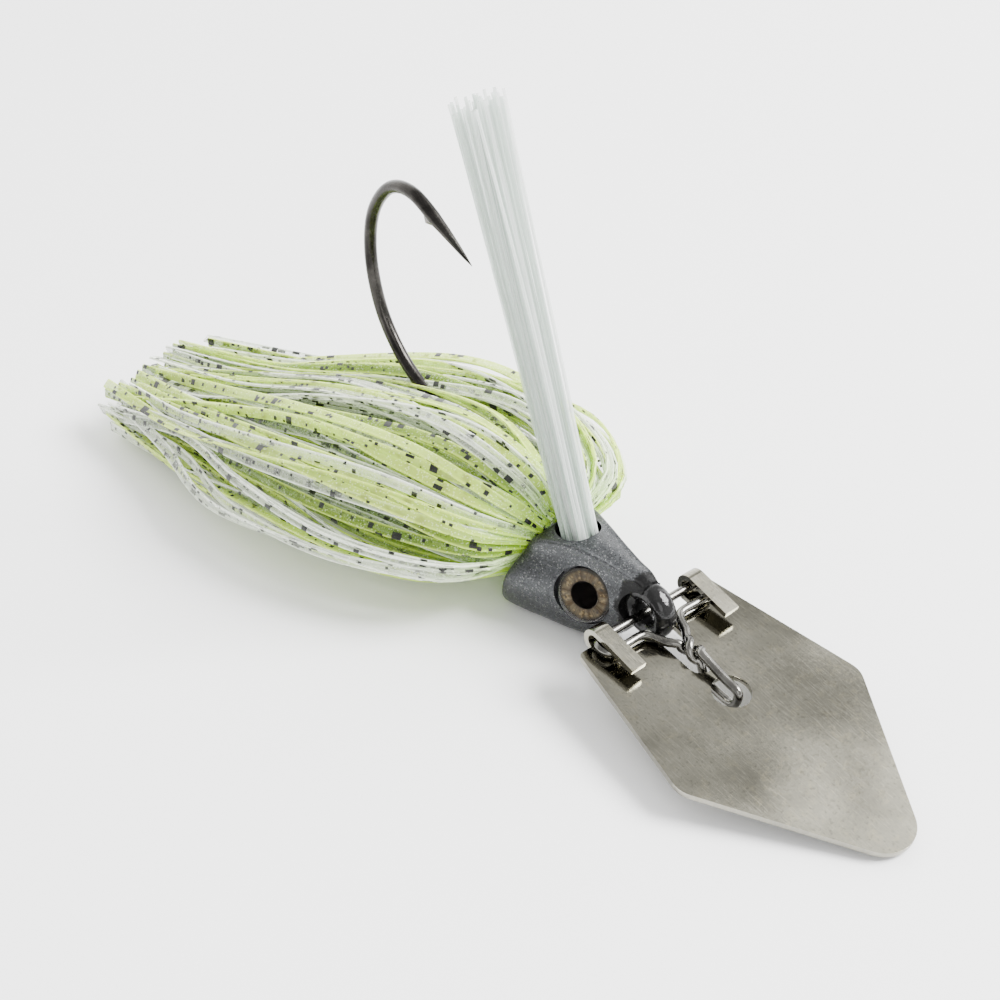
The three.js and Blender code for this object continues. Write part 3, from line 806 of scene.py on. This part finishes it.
class LURE_OT_head(PieceOperator, bpy.types.Operator):
    """Cast head with its eye recesses, guard socket, nose notch and skirt collar"""

    bl_idname = "lure.head"
    bl_label = "Head"

    def build(self, scene):
        sizes = scene.lure_head
        head = self.body()
        self.collar(head)
        eye = scene.lure_eye
        foot = at(*GUARD_FOOT)
        axis = guard_axis(scene.lure_guard.lean)
        socket_floor = foot - axis * SOCKET_DEPTH * MM
        boolean(head, rod("socket", socket_floor, foot + axis * 4 * MM, sizes.socket, 64))
        boolean(head, rod("notch", at(RING_X, -5, RING_Z), at(RING_X, 5, RING_Z), sizes.notch, 72))
        for side in (-1, 1):
            tool = rod("eye_cut", eye_point(side, -eye.recess), eye_point(side, 4 * MM),
                       eye.radius + EYE_GAP * MM, 64)
            boolean(head, tool)
        round_edges(head, sizes.bevel, segments=3, limit=42)
        finished(head, "jig_head", ["head_casting"], powder_material(), smooth=32)

    def body(self):
        """Cross sections bridged from the back to the nose."""
        rings = []
        for x, lean, *half in self.all_sections():
            half = self.ridged(half)
            loop = half + [np.array((-y, z)) for y, z in half[-2:0:-1]]
            closed = loop[-1:] + loop + loop[:2]
            outline = []
            for i in range(1, len(closed) - 2):
                corners = [np.array(p, float) for p in closed[i - 1:i + 3]]
                outline += [hermite(*corners, step / 5) for step in range(5)]
            ring = primitive("circle", "head_ring", vertices=len(outline))
            place_vertices(ring, [at(x + lean * z, y, z) for y, z in outline])
            rings.append(ring)
        head = join(rings, "head_look")
        edit(head)
        bpy.ops.mesh.bridge_edge_loops()
        bpy.ops.mesh.select_all(action="DESELECT")
        bpy.ops.mesh.select_non_manifold()
        bpy.ops.mesh.fill()
        face_outward()
        return head

    def ridged(self, half):
        """Adds a point on each side of the ridge, the lower one set in to hollow the cheek."""
        top, ridge, cheek, low, bottom = [np.array(point) for point in half]
        above = top + (ridge - top) * 0.72
        fall = cheek - ridge
        inward = np.array([fall[1], -fall[0]]) / np.linalg.norm(fall)
        hollow = ridge + fall * 0.3 + inward * 0.055 * np.linalg.norm(fall)
        return [top, above, ridge, hollow, cheek, low, bottom]

    def all_sections(self):
        """The sections with smooth ones put in between."""
        flat = [[x, lean, *[v for point in half for v in point]] for x, lean, *half in HEAD_SECTIONS]
        for row in smooth_line(flat, 5):
            values = list(row[2:])
            yield (row[0], row[1], *zip(values[0::2], values[1::2]))

    def collar(self, head):
        for start, end, first, last in COLLAR:
            tool = rod("collar", along_shank(start), along_shank(end), first * MM, 40, last * MM)
            boolean(head, tool, "UNION")


class LURE_OT_eyes(PieceOperator, bpy.types.Operator):
    """Printed iris and clear dome of each eye"""

    bl_idname = "lure.eyes"
    bl_label = "Eyes"

    def build(self, scene):
        sizes = scene.lure_eye
        iris, clear = iris_material(), dome_material()
        for name, side in (("right", -1), ("left", 1)):
            back = eye_point(side, 0.3 * MM - sizes.recess)
            normal = (eye_point(side, 1) - eye_point(side, 0)).normalized()
            turn = normal.to_track_quat("Z", "Y").to_euler()
            foil = self.foil(f"iris_{name}", back, turn, normal, sizes)
            finished(foil, "jig_head", [f"eye_foil_{name}"], iris)
            dome = self.dome(f"dome_{name}", back + normal * 0.5 * MM, turn, sizes)
            finished(dome, "jig_head", [f"eye_dome_{name}"], clear, smooth=60)

    def foil(self, name, place, turn, normal, sizes):
        foil = primitive("circle", name, vertices=64, radius=sizes.radius, fill_type="NGON",
                         location=place, rotation=turn)
        edit(foil)
        extrude(normal * 0.2 * MM)
        leave_edit()
        return foil

    def dome(self, name, place, turn, sizes):
        radius = sizes.radius * 0.97
        dome = primitive("uv_sphere", name, segments=48, ring_count=24, radius=radius)
        edit(dome)
        bpy.ops.mesh.bisect(
            plane_co=(0, 0, 0), plane_no=(0, 0, 1), clear_inner=True, use_fill=True)
        leave_edit()
        dome.scale = (1, 1, sizes.dome / radius)
        apply_place(dome)
        dome.rotation_euler = turn
        dome.location = place
        return dome


GUARD_PITCH = 1.26  # from the middle bunch to the six round it
BUNCH_RADIUS = 0.6
BUNCH_BRISTLES = 9
BRISTLE_TURN = 2.4  # radians from one bristle of a bunch to the next
BRISTLE_START = -0.35  # from the guard's foot, up its axis
PLUG_BOTTOM, PLUG_TOP, PLUG_RADIUS = 2.9, 1.0, 1.9  # depths below the guard's foot


class LURE_OT_guard(PieceOperator, bpy.types.Operator):
    """Weed guard: seven bunches of nylon bristles set in glue"""

    bl_idname = "lure.guard"
    bl_label = "Weed guard"

    def build(self, scene):
        sizes = scene.lure_guard
        rng = random.Random(11)
        axis = guard_axis(sizes.lean)
        side = Vector((0, 1, 0))
        front = side.cross(axis)
        foot = at(*GUARD_FOOT)
        material = bristle_material()
        for index, node in enumerate(GUARD_NODES):
            turn = index * math.pi / 3
            pitch = 0 if index == 6 else GUARD_PITCH * MM
            middle = side * pitch * math.cos(turn) + front * pitch * math.sin(turn)
            bristles = []
            for k in range(BUNCH_BRISTLES):
                out = BUNCH_RADIUS * MM * math.sqrt((k + 0.3) / BUNCH_BRISTLES)
                spot = turn + k * BRISTLE_TURN + rng.uniform(-0.2, 0.2)
                offset = middle + (side * math.cos(spot) + front * math.sin(spot)) * out
                top = sizes.length - rng.uniform(0, 1.6) * MM
                bristles.append(self.bristle(sizes, foot, axis, offset, top, rng, side, front))
            bunch = join(bristles, node.replace("guard_", "guard_look_"))
            finished(bunch, "weed_guard", [node], material, smooth=60)
        self.base(foot, axis)

    def bristle(self, sizes, foot, axis, offset, top, rng, side, front):
        stray = (side * rng.uniform(-1, 1) + front * rng.uniform(-1, 1)) * 0.35 * MM
        bow = (side * rng.uniform(-1, 1) + front * rng.uniform(-1, 1)) * 0.25 * MM
        line = []
        for step in range(9):
            t = step / 8
            wide = 1 + (sizes.fan - 1) * t
            place = foot + axis * (BRISTLE_START * MM * (1 - t) + top * t) + offset * wide
            line.append(place + stray * t * t + bow * math.sin(math.pi * t))
        made = wire("bristle", line, sizes.bristle / 2, resolution=1)
        tone = made.data.attributes.new("tone", "FLOAT", "POINT")
        tone.data.foreach_set("value", [rng.random()] * len(made.data.vertices))
        return made

    def base(self, foot, axis):
        plug = rod("guard_base_look", foot - axis * PLUG_BOTTOM * MM,
                   foot - axis * PLUG_TOP * MM, PLUG_RADIUS * MM, 40)
        round_edges(plug, 0.15 * MM, 3)
        glue = plain_rough_material(
            "glued_nylon", (0.10, 0.11, 0.10, 1), (0.24, 0.26, 0.23, 1), 0.25)
        finished(plug, "jig_head", ["guard_base"], glue, flat_faces=True)


SKIRT_SECTIONS = [
    # x, y, z, half width, up, down, lean up, lean down
    (-14.8, -0.3, 0.2, 11.0, 7.0, 4.6, 0.05, 1.1),
    (-24.5, -1.6, 0.4, 15.6, 8.8, 4.9, 0, 0.4),
    (-38, -5.0, 0.1, 15.2, 7.2, 4.7, 0, 0),
    (-51, -9.0, -1.1, 11.2, 4.4, 3.7, 0, 0),
    (-65, -12.8, -2.4, 7.4, 3.3, 2.9, 0, 0)]
HOOK_GAP = (math.radians(65.5), math.radians(85.5))
HOOK_GAP_SIDE = 0.03
SEGMENTS = 34  # along a strand
STRAND_DEPTHS = (1.0, 0.97, 1.03, 0.82, 0.91, 0.6, 1.0, 0.72)  # 1 is the skirt's outside
OUTER_DEPTH = 0.95  # strands outside this are paler; the darker ones inside are painted shade
STRAND_LENGTH = 58  # of the surface map
LOWEST_LINE = -5.45  # z of a strand's middle line, as at() takes it
LOWEST_POINT = 0.3  # height over the floor
STRAND_OUTLINE = [(-1, -0.5), (-0.72, -1), (0.72, -1), (1, -0.5),
                  (1, 0.5), (0.72, 1), (-0.72, 1), (-1, 0.5)]


def bunch_angles(count):
    """Angles at even distances round the widest section, leaving the hook's opening."""
    _, _, _, side, up, down, _, _ = SKIRT_SECTIONS[1]
    t = np.linspace(HOOK_GAP[1], 2 * math.pi + HOOK_GAP[0], 721)
    y = side * np.cos(t)
    z = np.where(np.sin(t) > 0, up, down) * np.sin(t)
    gone = np.concatenate([[0], np.cumsum(np.hypot(np.diff(y), np.diff(z)))])
    return np.interp(np.linspace(0, gone[-1], count), gone, t)


class LURE_OT_skirt(PieceOperator, bpy.types.Operator):
    """Skirt of flat silicone strands, and the band that holds it"""

    bl_idname = "lure.skirt"
    bl_label = "Skirt"

    def build(self, scene):
        sizes = scene.lure_skirt
        # per colour: pale, a dark colour for painted shade inside the skirt, a root colour for
        # painted shade near the band, alpha and translucency
        colours = {
            "chartreuse": silicone_material(
                "chartreuse_silicone", (0.80, 1.0, 0.18, 1), (0.13, 0.25, 0.002, 1),
                (0.42, 0.70, 0.03, 1), 0.45, 0.16),
            "pearl": silicone_material(
                "pearl_silicone", (0.95, 1.0, 0.88, 1), (0.17, 0.25, 0.11, 1),
                (0.46, 0.72, 0.12, 1), 0.2, 0.07)}
        rng = random.Random(7)
        strip = self.strip(sizes)
        number = 0
        for angle_round, node in zip(bunch_angles(len(SKIRT_NODES)), SKIRT_NODES):
            strands = []
            for k in range(sizes.per_bunch):
                number += 1
                strands.append(self.strand(sizes, strip, angle_round, k, number, rng))
            bunch = join(strands, node.replace("skirt_", "skirt_look_"))
            colour = node.split("_")[-1]
            finished(bunch, "jig_head", [node], colours[colour], smooth=40)
        bpy.data.objects.remove(strip)
        self.band(sizes)

    def strip(self, sizes):
        """One straight strand, extruded step by step along X from its end face."""
        half, thick = sizes.width / 2, sizes.thickness / 2
        strip = outline_face("strand", [(0, a * half, b * thick) for a, b in STRAND_OUTLINE])
        edit(strip)
        for _ in range(SEGMENTS):
            extrude((1, 0, 0))
        face_outward()
        return strip

    def path(self, sizes, angle_round, depth, rng):
        """A strand's line from the band, out and round, then back to its tip."""
        root_radius = sizes.root_radius * rng.uniform(0.82, 1.04)
        cos, sin = math.cos(angle_round), math.sin(angle_round)
        root = along_shank(1.3) + SHANK_UP * root_radius * sin
        root.y += root_radius * cos
        points = [root]
        drift = rng.uniform(-0.42, 0.42)
        wander = rng.uniform(-2.6, 2.6)
        phase = rng.uniform(0, 6.28)
        for i, (x, y, z, side, up, down, lean_up, lean_down) in enumerate(SKIRT_SECTIONS):
            turned = angle_round + drift * i / 4
            cos, sin = math.cos(turned), math.sin(turned)
            rise = (up if sin > 0 else down) * sin * depth
            lean = lean_up if sin > 0 else lean_down
            sway = wander * math.sin(phase + i * 1.7) * min(1, i / 2)
            x += (0.6 * sway if i < 4 else 0) - lean * abs(rise)
            height = max(z + rise + 0.35 * sway, LOWEST_LINE)
            points.append(at(x, y + side * cos * depth + 0.55 * sway, height))
        ragged = rng.uniform(-3.4, 1.0) - (2.0 if rng.random() < 0.25 else 0)
        points[-1].x -= ragged * MM
        return resample(smooth_line(points, 12), SEGMENTS + 1)

    def strand(self, sizes, strip, angle_round, k, number, rng):
        depth = STRAND_DEPTHS[k % len(STRAND_DEPTHS)] * rng.uniform(0.96, 1.03)
        spot = angle_round + rng.gauss(0, 0.19)
        in_gap = spot % (2 * math.pi)
        if HOOK_GAP[0] - HOOK_GAP_SIDE < in_gap < HOOK_GAP[1] + HOOK_GAP_SIDE:
            spot = angle_round
        line = self.path(sizes, spot, depth, rng)
        strand = strip.copy()
        strand.data = strip.data.copy()
        bpy.context.scene.collection.objects.link(strand)
        count = len(strand.data.vertices)
        flat = np.empty(count * 3)
        strand.data.vertices.foreach_get("co", flat)
        flat = flat.reshape(-1, 3)
        step = np.round(flat[:, 0]).astype(int)
        ahead = np.gradient(line, axis=0)
        ahead /= np.linalg.norm(ahead, axis=1)[:, None]
        middle = at(0, 0, 0)
        middle_y = middle.y + np.linspace(0, SKIRT_SECTIONS[-1][1], len(line)) * MM
        outward = np.stack([np.zeros(len(line)), line[:, 1] - middle_y, line[:, 2] - middle.z], 1)
        outward -= (outward * ahead).sum(1)[:, None] * ahead
        outward /= np.linalg.norm(outward, axis=1)[:, None]
        sideways = np.cross(ahead, outward)
        t = np.linspace(0, 1, len(line))
        roll = rng.gauss(0, 0.45) + rng.gauss(0, 0.9) * np.sin(
            t * rng.uniform(1.5, 4.5) + rng.uniform(0, 6.28)) * np.minimum(1, t * 4)
        wide = sideways * np.cos(roll)[:, None] + outward * np.sin(roll)[:, None]
        up = outward * np.cos(roll)[:, None] - sideways * np.sin(roll)[:, None]
        gather = np.minimum(1, 0.72 + t * 2.2)
        placed = (line[step] + wide[step] * (flat[:, 1] * gather[step])[:, None]
                  + up[step] * flat[:, 2][:, None])
        placed[:, 2] = np.maximum(placed[:, 2], LOWEST_POINT * MM)
        place_vertices(strand, placed)
        # inner strands get a low tone, so mostly the dark colour: painted shade inside the skirt
        tone = 0.5 + rng.random() * 0.5 if depth > OUTER_DEPTH else rng.random() * 0.25
        self.mark(strand.data, flat, step, t, number, tone, sizes)
        return strand

    def mark(self, mesh, flat, step, t, number, tone, sizes):
        """Surface map in millimetres, shifted for each strand and side, and the values
        that the material reads."""
        across = flat[:, 1] / (sizes.width / 2)
        for name, values in (("across", across), ("along", t[step]),
                             ("tone", np.full(len(step), tone))):
            made = mesh.attributes.new(name, "FLOAT", "POINT")
            made.data.foreach_set("value", values.astype(np.float32))
        uv = mesh.uv_layers.active
        corners = np.empty(len(mesh.loops), int)
        mesh.loops.foreach_get("vertex_index", corners)
        side = (flat[:, 2] > 0) * 3.7
        u = flat[:, 1] / MM + number * 5.3 + side
        v = t[step] * STRAND_LENGTH + number * 1.9
        uv.data.foreach_set("uv", np.stack([u[corners], v[corners]], 1).astype(np.float32).ravel())

    def band(self, sizes):
        band = primitive(
            "torus", "band_look", location=along_shank(3.7),
            rotation=SHANK_BACK.to_track_quat("Z", "Y").to_euler(), major_radius=sizes.band,
            minor_radius=sizes.band_tube, major_segments=48, minor_segments=16)
        rubber = plain_rough_material("band_rubber", grey(0.02), grey(0.05), 0.55)
        finished(band, "jig_head", ["skirt_band"], rubber, smooth=60)


ROD_X, ROD_Z = 1.85, -0.05  # the return rods, parallel to the crossbar
BAR_HALF = 5.7
TWIST_START, TWIST_LENGTH = 4.6, 2.3
STEM_LINE = [(ROD_X, 2.6), (2.35, 1.85), (3.7, 1.25)]
LOOP_LINE = [(7.45, -1.3), (7.95, -2.0), (9.2, -2.2), (11.3, -2.1), (11.8, -1.2),
             (11.6, -0.25), (10.3, -0.08), (8.4, 0.22)]


class LURE_OT_link(PieceOperator, bpy.types.Operator):
    """Wire link: crossbar, return rods, twist and line loop, from one wire"""

    bl_idname = "lure.link"
    bl_label = "Wire link"

    def build(self, scene):
        sizes = scene.lure_link
        line = smooth_line([on_link(*p) for p in self.path(sizes)], 7)
        link = wire("link_look", line, sizes.wire / 2)
        steel = metal_material(
            "link_steel", (0.06, 0.058, 0.054, 1), (0.23, 0.225, 0.205, 1), 0.08, 420.0, 0.35)
        finished(link, "link", ["link_wire"], steel, smooth=60)

    def bend(self, side, start, end):
        radius = ROD_X / 2
        for i in range(1, 6):
            turn = start + (end - start) * i / 6
            x = radius - radius * math.cos(turn)
            yield x, side * (BAR_HALF + radius * math.sin(turn)), ROD_Z * x / ROD_X

    def twist(self, start, radius):
        points = []
        for i in range(9):
            turn = math.radians(start + 270 * i / 8)
            x = TWIST_START + TWIST_LENGTH * i / 8
            points.append((x, radius * math.cos(turn), radius * math.sin(turn)))
        return points

    def path(self, sizes):
        radius = sizes.twist / MM
        stem = [(x, y, ROD_Z) for x, y in STEM_LINE]
        other = [(x, -y, z) for x, y, z in stem]
        return [
            (ROD_X, -5.05, ROD_Z), (ROD_X, -5.6, ROD_Z), *self.bend(-1, math.pi, 0),
            *[(0, y, 0) for y in (-BAR_HALF, -4, 0, 4, BAR_HALF)], *self.bend(1, 0, math.pi),
            (ROD_X, BAR_HALF, ROD_Z), (ROD_X, 4.2, ROD_Z), *stem, *self.twist(0, radius),
            *[(x, 0, z) for x, z in LOOP_LINE], *self.twist(180, radius)[::-1], *other[::-1],
            (ROD_X, -4.75, ROD_Z)]


TAB_INNER, TAB_WIDTH, TAB_REACH = 5.05, 1.65, 4.9
TAB_RISE = 0.25  # height of the tab's end over the crossbar's axis
TIP_RADIUS = 3.3
LINE_HOLE = (11.0, 1.85)  # x and radius
SLOT_END, SLOT_HALF = 6.9, 1.25
BLADE_CORNERS = [(-0.2, 4.7), (-0.2, 8.2), (16.1, 11.5), (34.3, 0)]


class LURE_OT_blade(PieceOperator, bpy.types.Operator):
    """Blade: a flat sheet with a slot, a hole and two tabs rolled over the crossbar"""

    bl_idname = "lure.blade"
    bl_label = "Blade"

    def build(self, scene):
        sizes = scene.lure_blade
        sheet, roll = sizes.sheet / MM, sizes.roll / MM
        blade = self.plate(sheet, roll)
        for edge in (-TAB_INNER, TAB_INNER + TAB_WIDTH):
            boolean(blade, self.tab(edge, sheet, roll), "UNION")
        edit(blade)
        bpy.ops.mesh.dissolve_limited(angle_limit=math.radians(0.5))
        leave_edit()
        boolean(blade, self.drill("hole", *LINE_HOLE))
        boolean(blade, self.drill("slot_end", SLOT_END, SLOT_HALF))
        round_edges(blade, sizes.rim, segments=3)
        self.materials(blade)
        blade.rotation_euler = (0, BLADE_PITCH, 0)
        blade.location = CROSSBAR
        finished(blade, "blade", ["blade"], None, flat_faces=True)

    def materials(self, blade):
        """Tarnished faces, and cut edges all round the sheet and the tabs with a painted highlight:
        a lighter base colour.
        """
        blade.data.materials.append(blade_material("blade_steel", 0.0))
        # this material's lighter base colour is a painted highlight on the cut edges
        blade.data.materials.append(blade_material("blade_edge_highlight", 0.2))
        for face in blade.data.polygons:
            ahead = abs(face.normal.x) > 0.3 and face.center.x > 5 * MM
            face.material_index = 1 if abs(face.normal.y) > 0.2 or ahead else 0

    def drill(self, name, x, radius):
        low, high = Vector((x, 0, -4)) * MM, Vector((x, 0, 2)) * MM
        return rod(name, low, high, radius * MM, 64)

    def corner(self, before, corner, after, radius):
        """Points round a corner, from one side to the other."""
        middle = Vector(corner)
        first = middle + (Vector(before) - middle).normalized() * radius
        last = middle + (Vector(after) - middle).normalized() * radius
        for step in range(7):
            t = step / 6
            yield (1 - t)**2 * first + 2 * t * (1 - t) * middle + t * t * last

    def plate(self, sheet, roll):
        inner, rear, mid, apex = BLADE_CORNERS
        half_angle = math.atan2(mid[1], apex[0] - mid[0])
        tip = apex[0] - TIP_RADIUS / math.sin(half_angle)
        sweep = math.pi / 2 - half_angle
        left = [Vector((2, SLOT_HALF)), Vector((2, inner[1])), Vector(inner),
                *self.corner(inner, rear, mid, 0.5), *self.corner(rear, mid, apex, 1.0)]
        arc = []
        for step in range(17):
            turn = -sweep + 2 * sweep * step / 16
            arc.append(Vector((tip + TIP_RADIUS * math.cos(turn), TIP_RADIUS * math.sin(turn))))
        right = [Vector((p.x, -p.y)) for p in left]
        slot = [Vector((SLOT_END, SLOT_HALF)), Vector((SLOT_END, -SLOT_HALF))]
        outline = [*right, *arc, *reversed(left), *slot]
        points = [(p.x * MM, p.y * MM, -(roll + sheet) * MM) for p in outline]
        return extruded("blade_look", points, (0, 0, sheet * MM))

    def tab(self, edge, sheet, roll):
        """Side view of a tab, drawn round the crossbar and extruded to the tab's width."""
        outer = roll + sheet
        rise = math.atan2(roll - TAB_RISE, TAB_REACH)
        turns = [-math.pi / 2 - i / 20 * (math.pi + rise) for i in range(21)]
        inside = [(roll * math.cos(t), roll * math.sin(t)) for t in turns]
        outside = [(outer * math.cos(t), outer * math.sin(t)) for t in reversed(turns)]
        front = [(TAB_REACH, TAB_RISE),
                 (TAB_REACH + sheet * math.sin(rise), TAB_RISE + sheet * math.cos(rise))]
        side_view = [(1.5, -outer), (1.5, -roll), *inside, *front, *outside]
        points = [(x * MM, edge * MM, z * MM) for x, z in side_view]
        return extruded("tab", points, (0, -TAB_WIDTH * MM, 0))


CAMERA_PLACE = (81.0, -85.6, 102.4)
CAMERA_TURN = (52.5, 0, 50.0)  # degrees


class LURE_OT_stage(PieceOperator, bpy.types.Operator):
    """Pale floor, soft lights and the camera"""

    bl_idname = "lure.stage"
    bl_label = "Stage"

    def build(self, scene):
        self.floor(scene.lure_stage)
        self.lights()
        self.world(scene)
        self.camera(scene)

    def floor(self, sizes):
        floor = primitive("plane", "floor", size=sizes.floor, location=(0, 0, -0.00002))
        apply_place(floor)
        material, tree, shader, position = new_material("floor", Roughness=0.6)
        cloud = mottle(tree, position, 4.0, 12.0)
        shade(tree, shader, Base_Color=mix(tree, cloud["Clouds"], grey(0.93), grey(0.95)))
        floor.data.materials.append(material)

    def light(self, name, place, size, power):
        deselect()
        bpy.ops.object.light_add(type="AREA", location=place)
        light = named(name)
        light.data.shape = "RECTANGLE"
        light.data.size, light.data.size_y = size
        light.data.energy = power
        aim = Vector((0.01, 0, 0.01)) - Vector(place)
        light.rotation_euler = aim.to_track_quat("-Z", "Y").to_euler()

    def lights(self):
        self.light("side", (0.36, 0.5, 0.6), (0.42, 0.42), 28.0)
        self.light("fill", (0.55, -0.35, 0.35), (0.3, 0.5), 1.5)

    def world(self, scene):
        world = bpy.data.worlds.new("studio")
        world.use_nodes = True
        tree = world.node_tree
        # brightest behind the lure, with a soft gleam beside it for the blade to mirror
        sky = add_node(tree, "TexCoord").outputs["Generated"]
        parts = add_node(tree, "SeparateXYZ", {"Vector": sky})
        height = spread(tree, parts.outputs["Z"], 0.1, 0.95, 1.0, 0.8)
        rear = spread(tree, parts.outputs["X"], -0.62, -0.4, 2.8, 0.86, smooth=True)
        near = spread(tree, parts.outputs["Y"], -0.9, 0.5, 0.6, 1.0, smooth=True)
        tone = product(tree, product(tree, height, rear), near)
        ahead = spread(tree, parts.outputs["X"], -0.25, -0.18, 0, 1, smooth=True)
        behind = spread(tree, parts.outputs["X"], -0.08, 0.2, 1, 0, smooth=True)
        beside = spread(tree, parts.outputs["Y"], 0.44, 0.6, 0, 1.8, smooth=True)
        gleam = product(tree, product(tree, ahead, behind), beside)
        tone = maths(tree, "ADD", tone, gleam)
        colour = add_node(tree, "CombineColor", {"Red": tone, "Green": tone, "Blue": tone})
        shade(tree, tree.nodes["Background"], Color=colour.outputs["Color"], Strength=1.9)
        scene.world = world

    def camera(self, scene):
        deselect()
        bpy.ops.object.camera_add(
            location=at(*CAMERA_PLACE), rotation=[math.radians(turn) for turn in CAMERA_TURN])
        camera = named("camera")
        camera.data.lens = scene.lure_stage.lens
        camera.data.sensor_width = 36
        camera.data.clip_start = 0.005
        scene.camera = camera


OPERATORS = (LURE_OT_stage, LURE_OT_head, LURE_OT_hook, LURE_OT_eyes, LURE_OT_guard,
             LURE_OT_skirt, LURE_OT_link, LURE_OT_blade)
SIZES = {
    "lure_hook": HookSizes, "lure_head": HeadSizes, "lure_eye": EyeSizes,
    "lure_guard": GuardSizes, "lure_skirt": SkirtSizes, "lure_link": LinkSizes,
    "lure_blade": BladeSizes, "lure_stage": StageSizes}


class LURE_PT_panel(bpy.types.Panel):
    """Lists the pieces' sizes and operators"""

    bl_label = "Bladed jig"
    bl_idname = "LURE_PT_panel"
    bl_space_type = "VIEW_3D"
    bl_region_type = "UI"
    bl_category = "Lure"

    def draw(self, context):
        for name, sizes in SIZES.items():
            box = self.layout.box()
            box.label(text=name.replace("lure_", "").title())
            for key in sizes.__annotations__:
                box.prop(getattr(context.scene, name), key)
        for operator in OPERATORS:
            self.layout.operator(operator.bl_idname)


def register():
    for sizes in SIZES.values():
        bpy.utils.register_class(sizes)
    for name, sizes in SIZES.items():
        setattr(bpy.types.Scene, name, PointerProperty(type=sizes))
    for made in (*OPERATORS, LURE_PT_panel):
        bpy.utils.register_class(made)


def unregister():
    for made in (LURE_PT_panel, *reversed(OPERATORS)):
        bpy.utils.unregister_class(made)
    for name, sizes in SIZES.items():
        delattr(bpy.types.Scene, name)
        bpy.utils.unregister_class(sizes)


def main():
    register()
    build_groups()
    for operator in OPERATORS:
        getattr(bpy.ops.lure, operator.bl_idname.split(".")[1])()


if __name__ == "__main__":
    main()
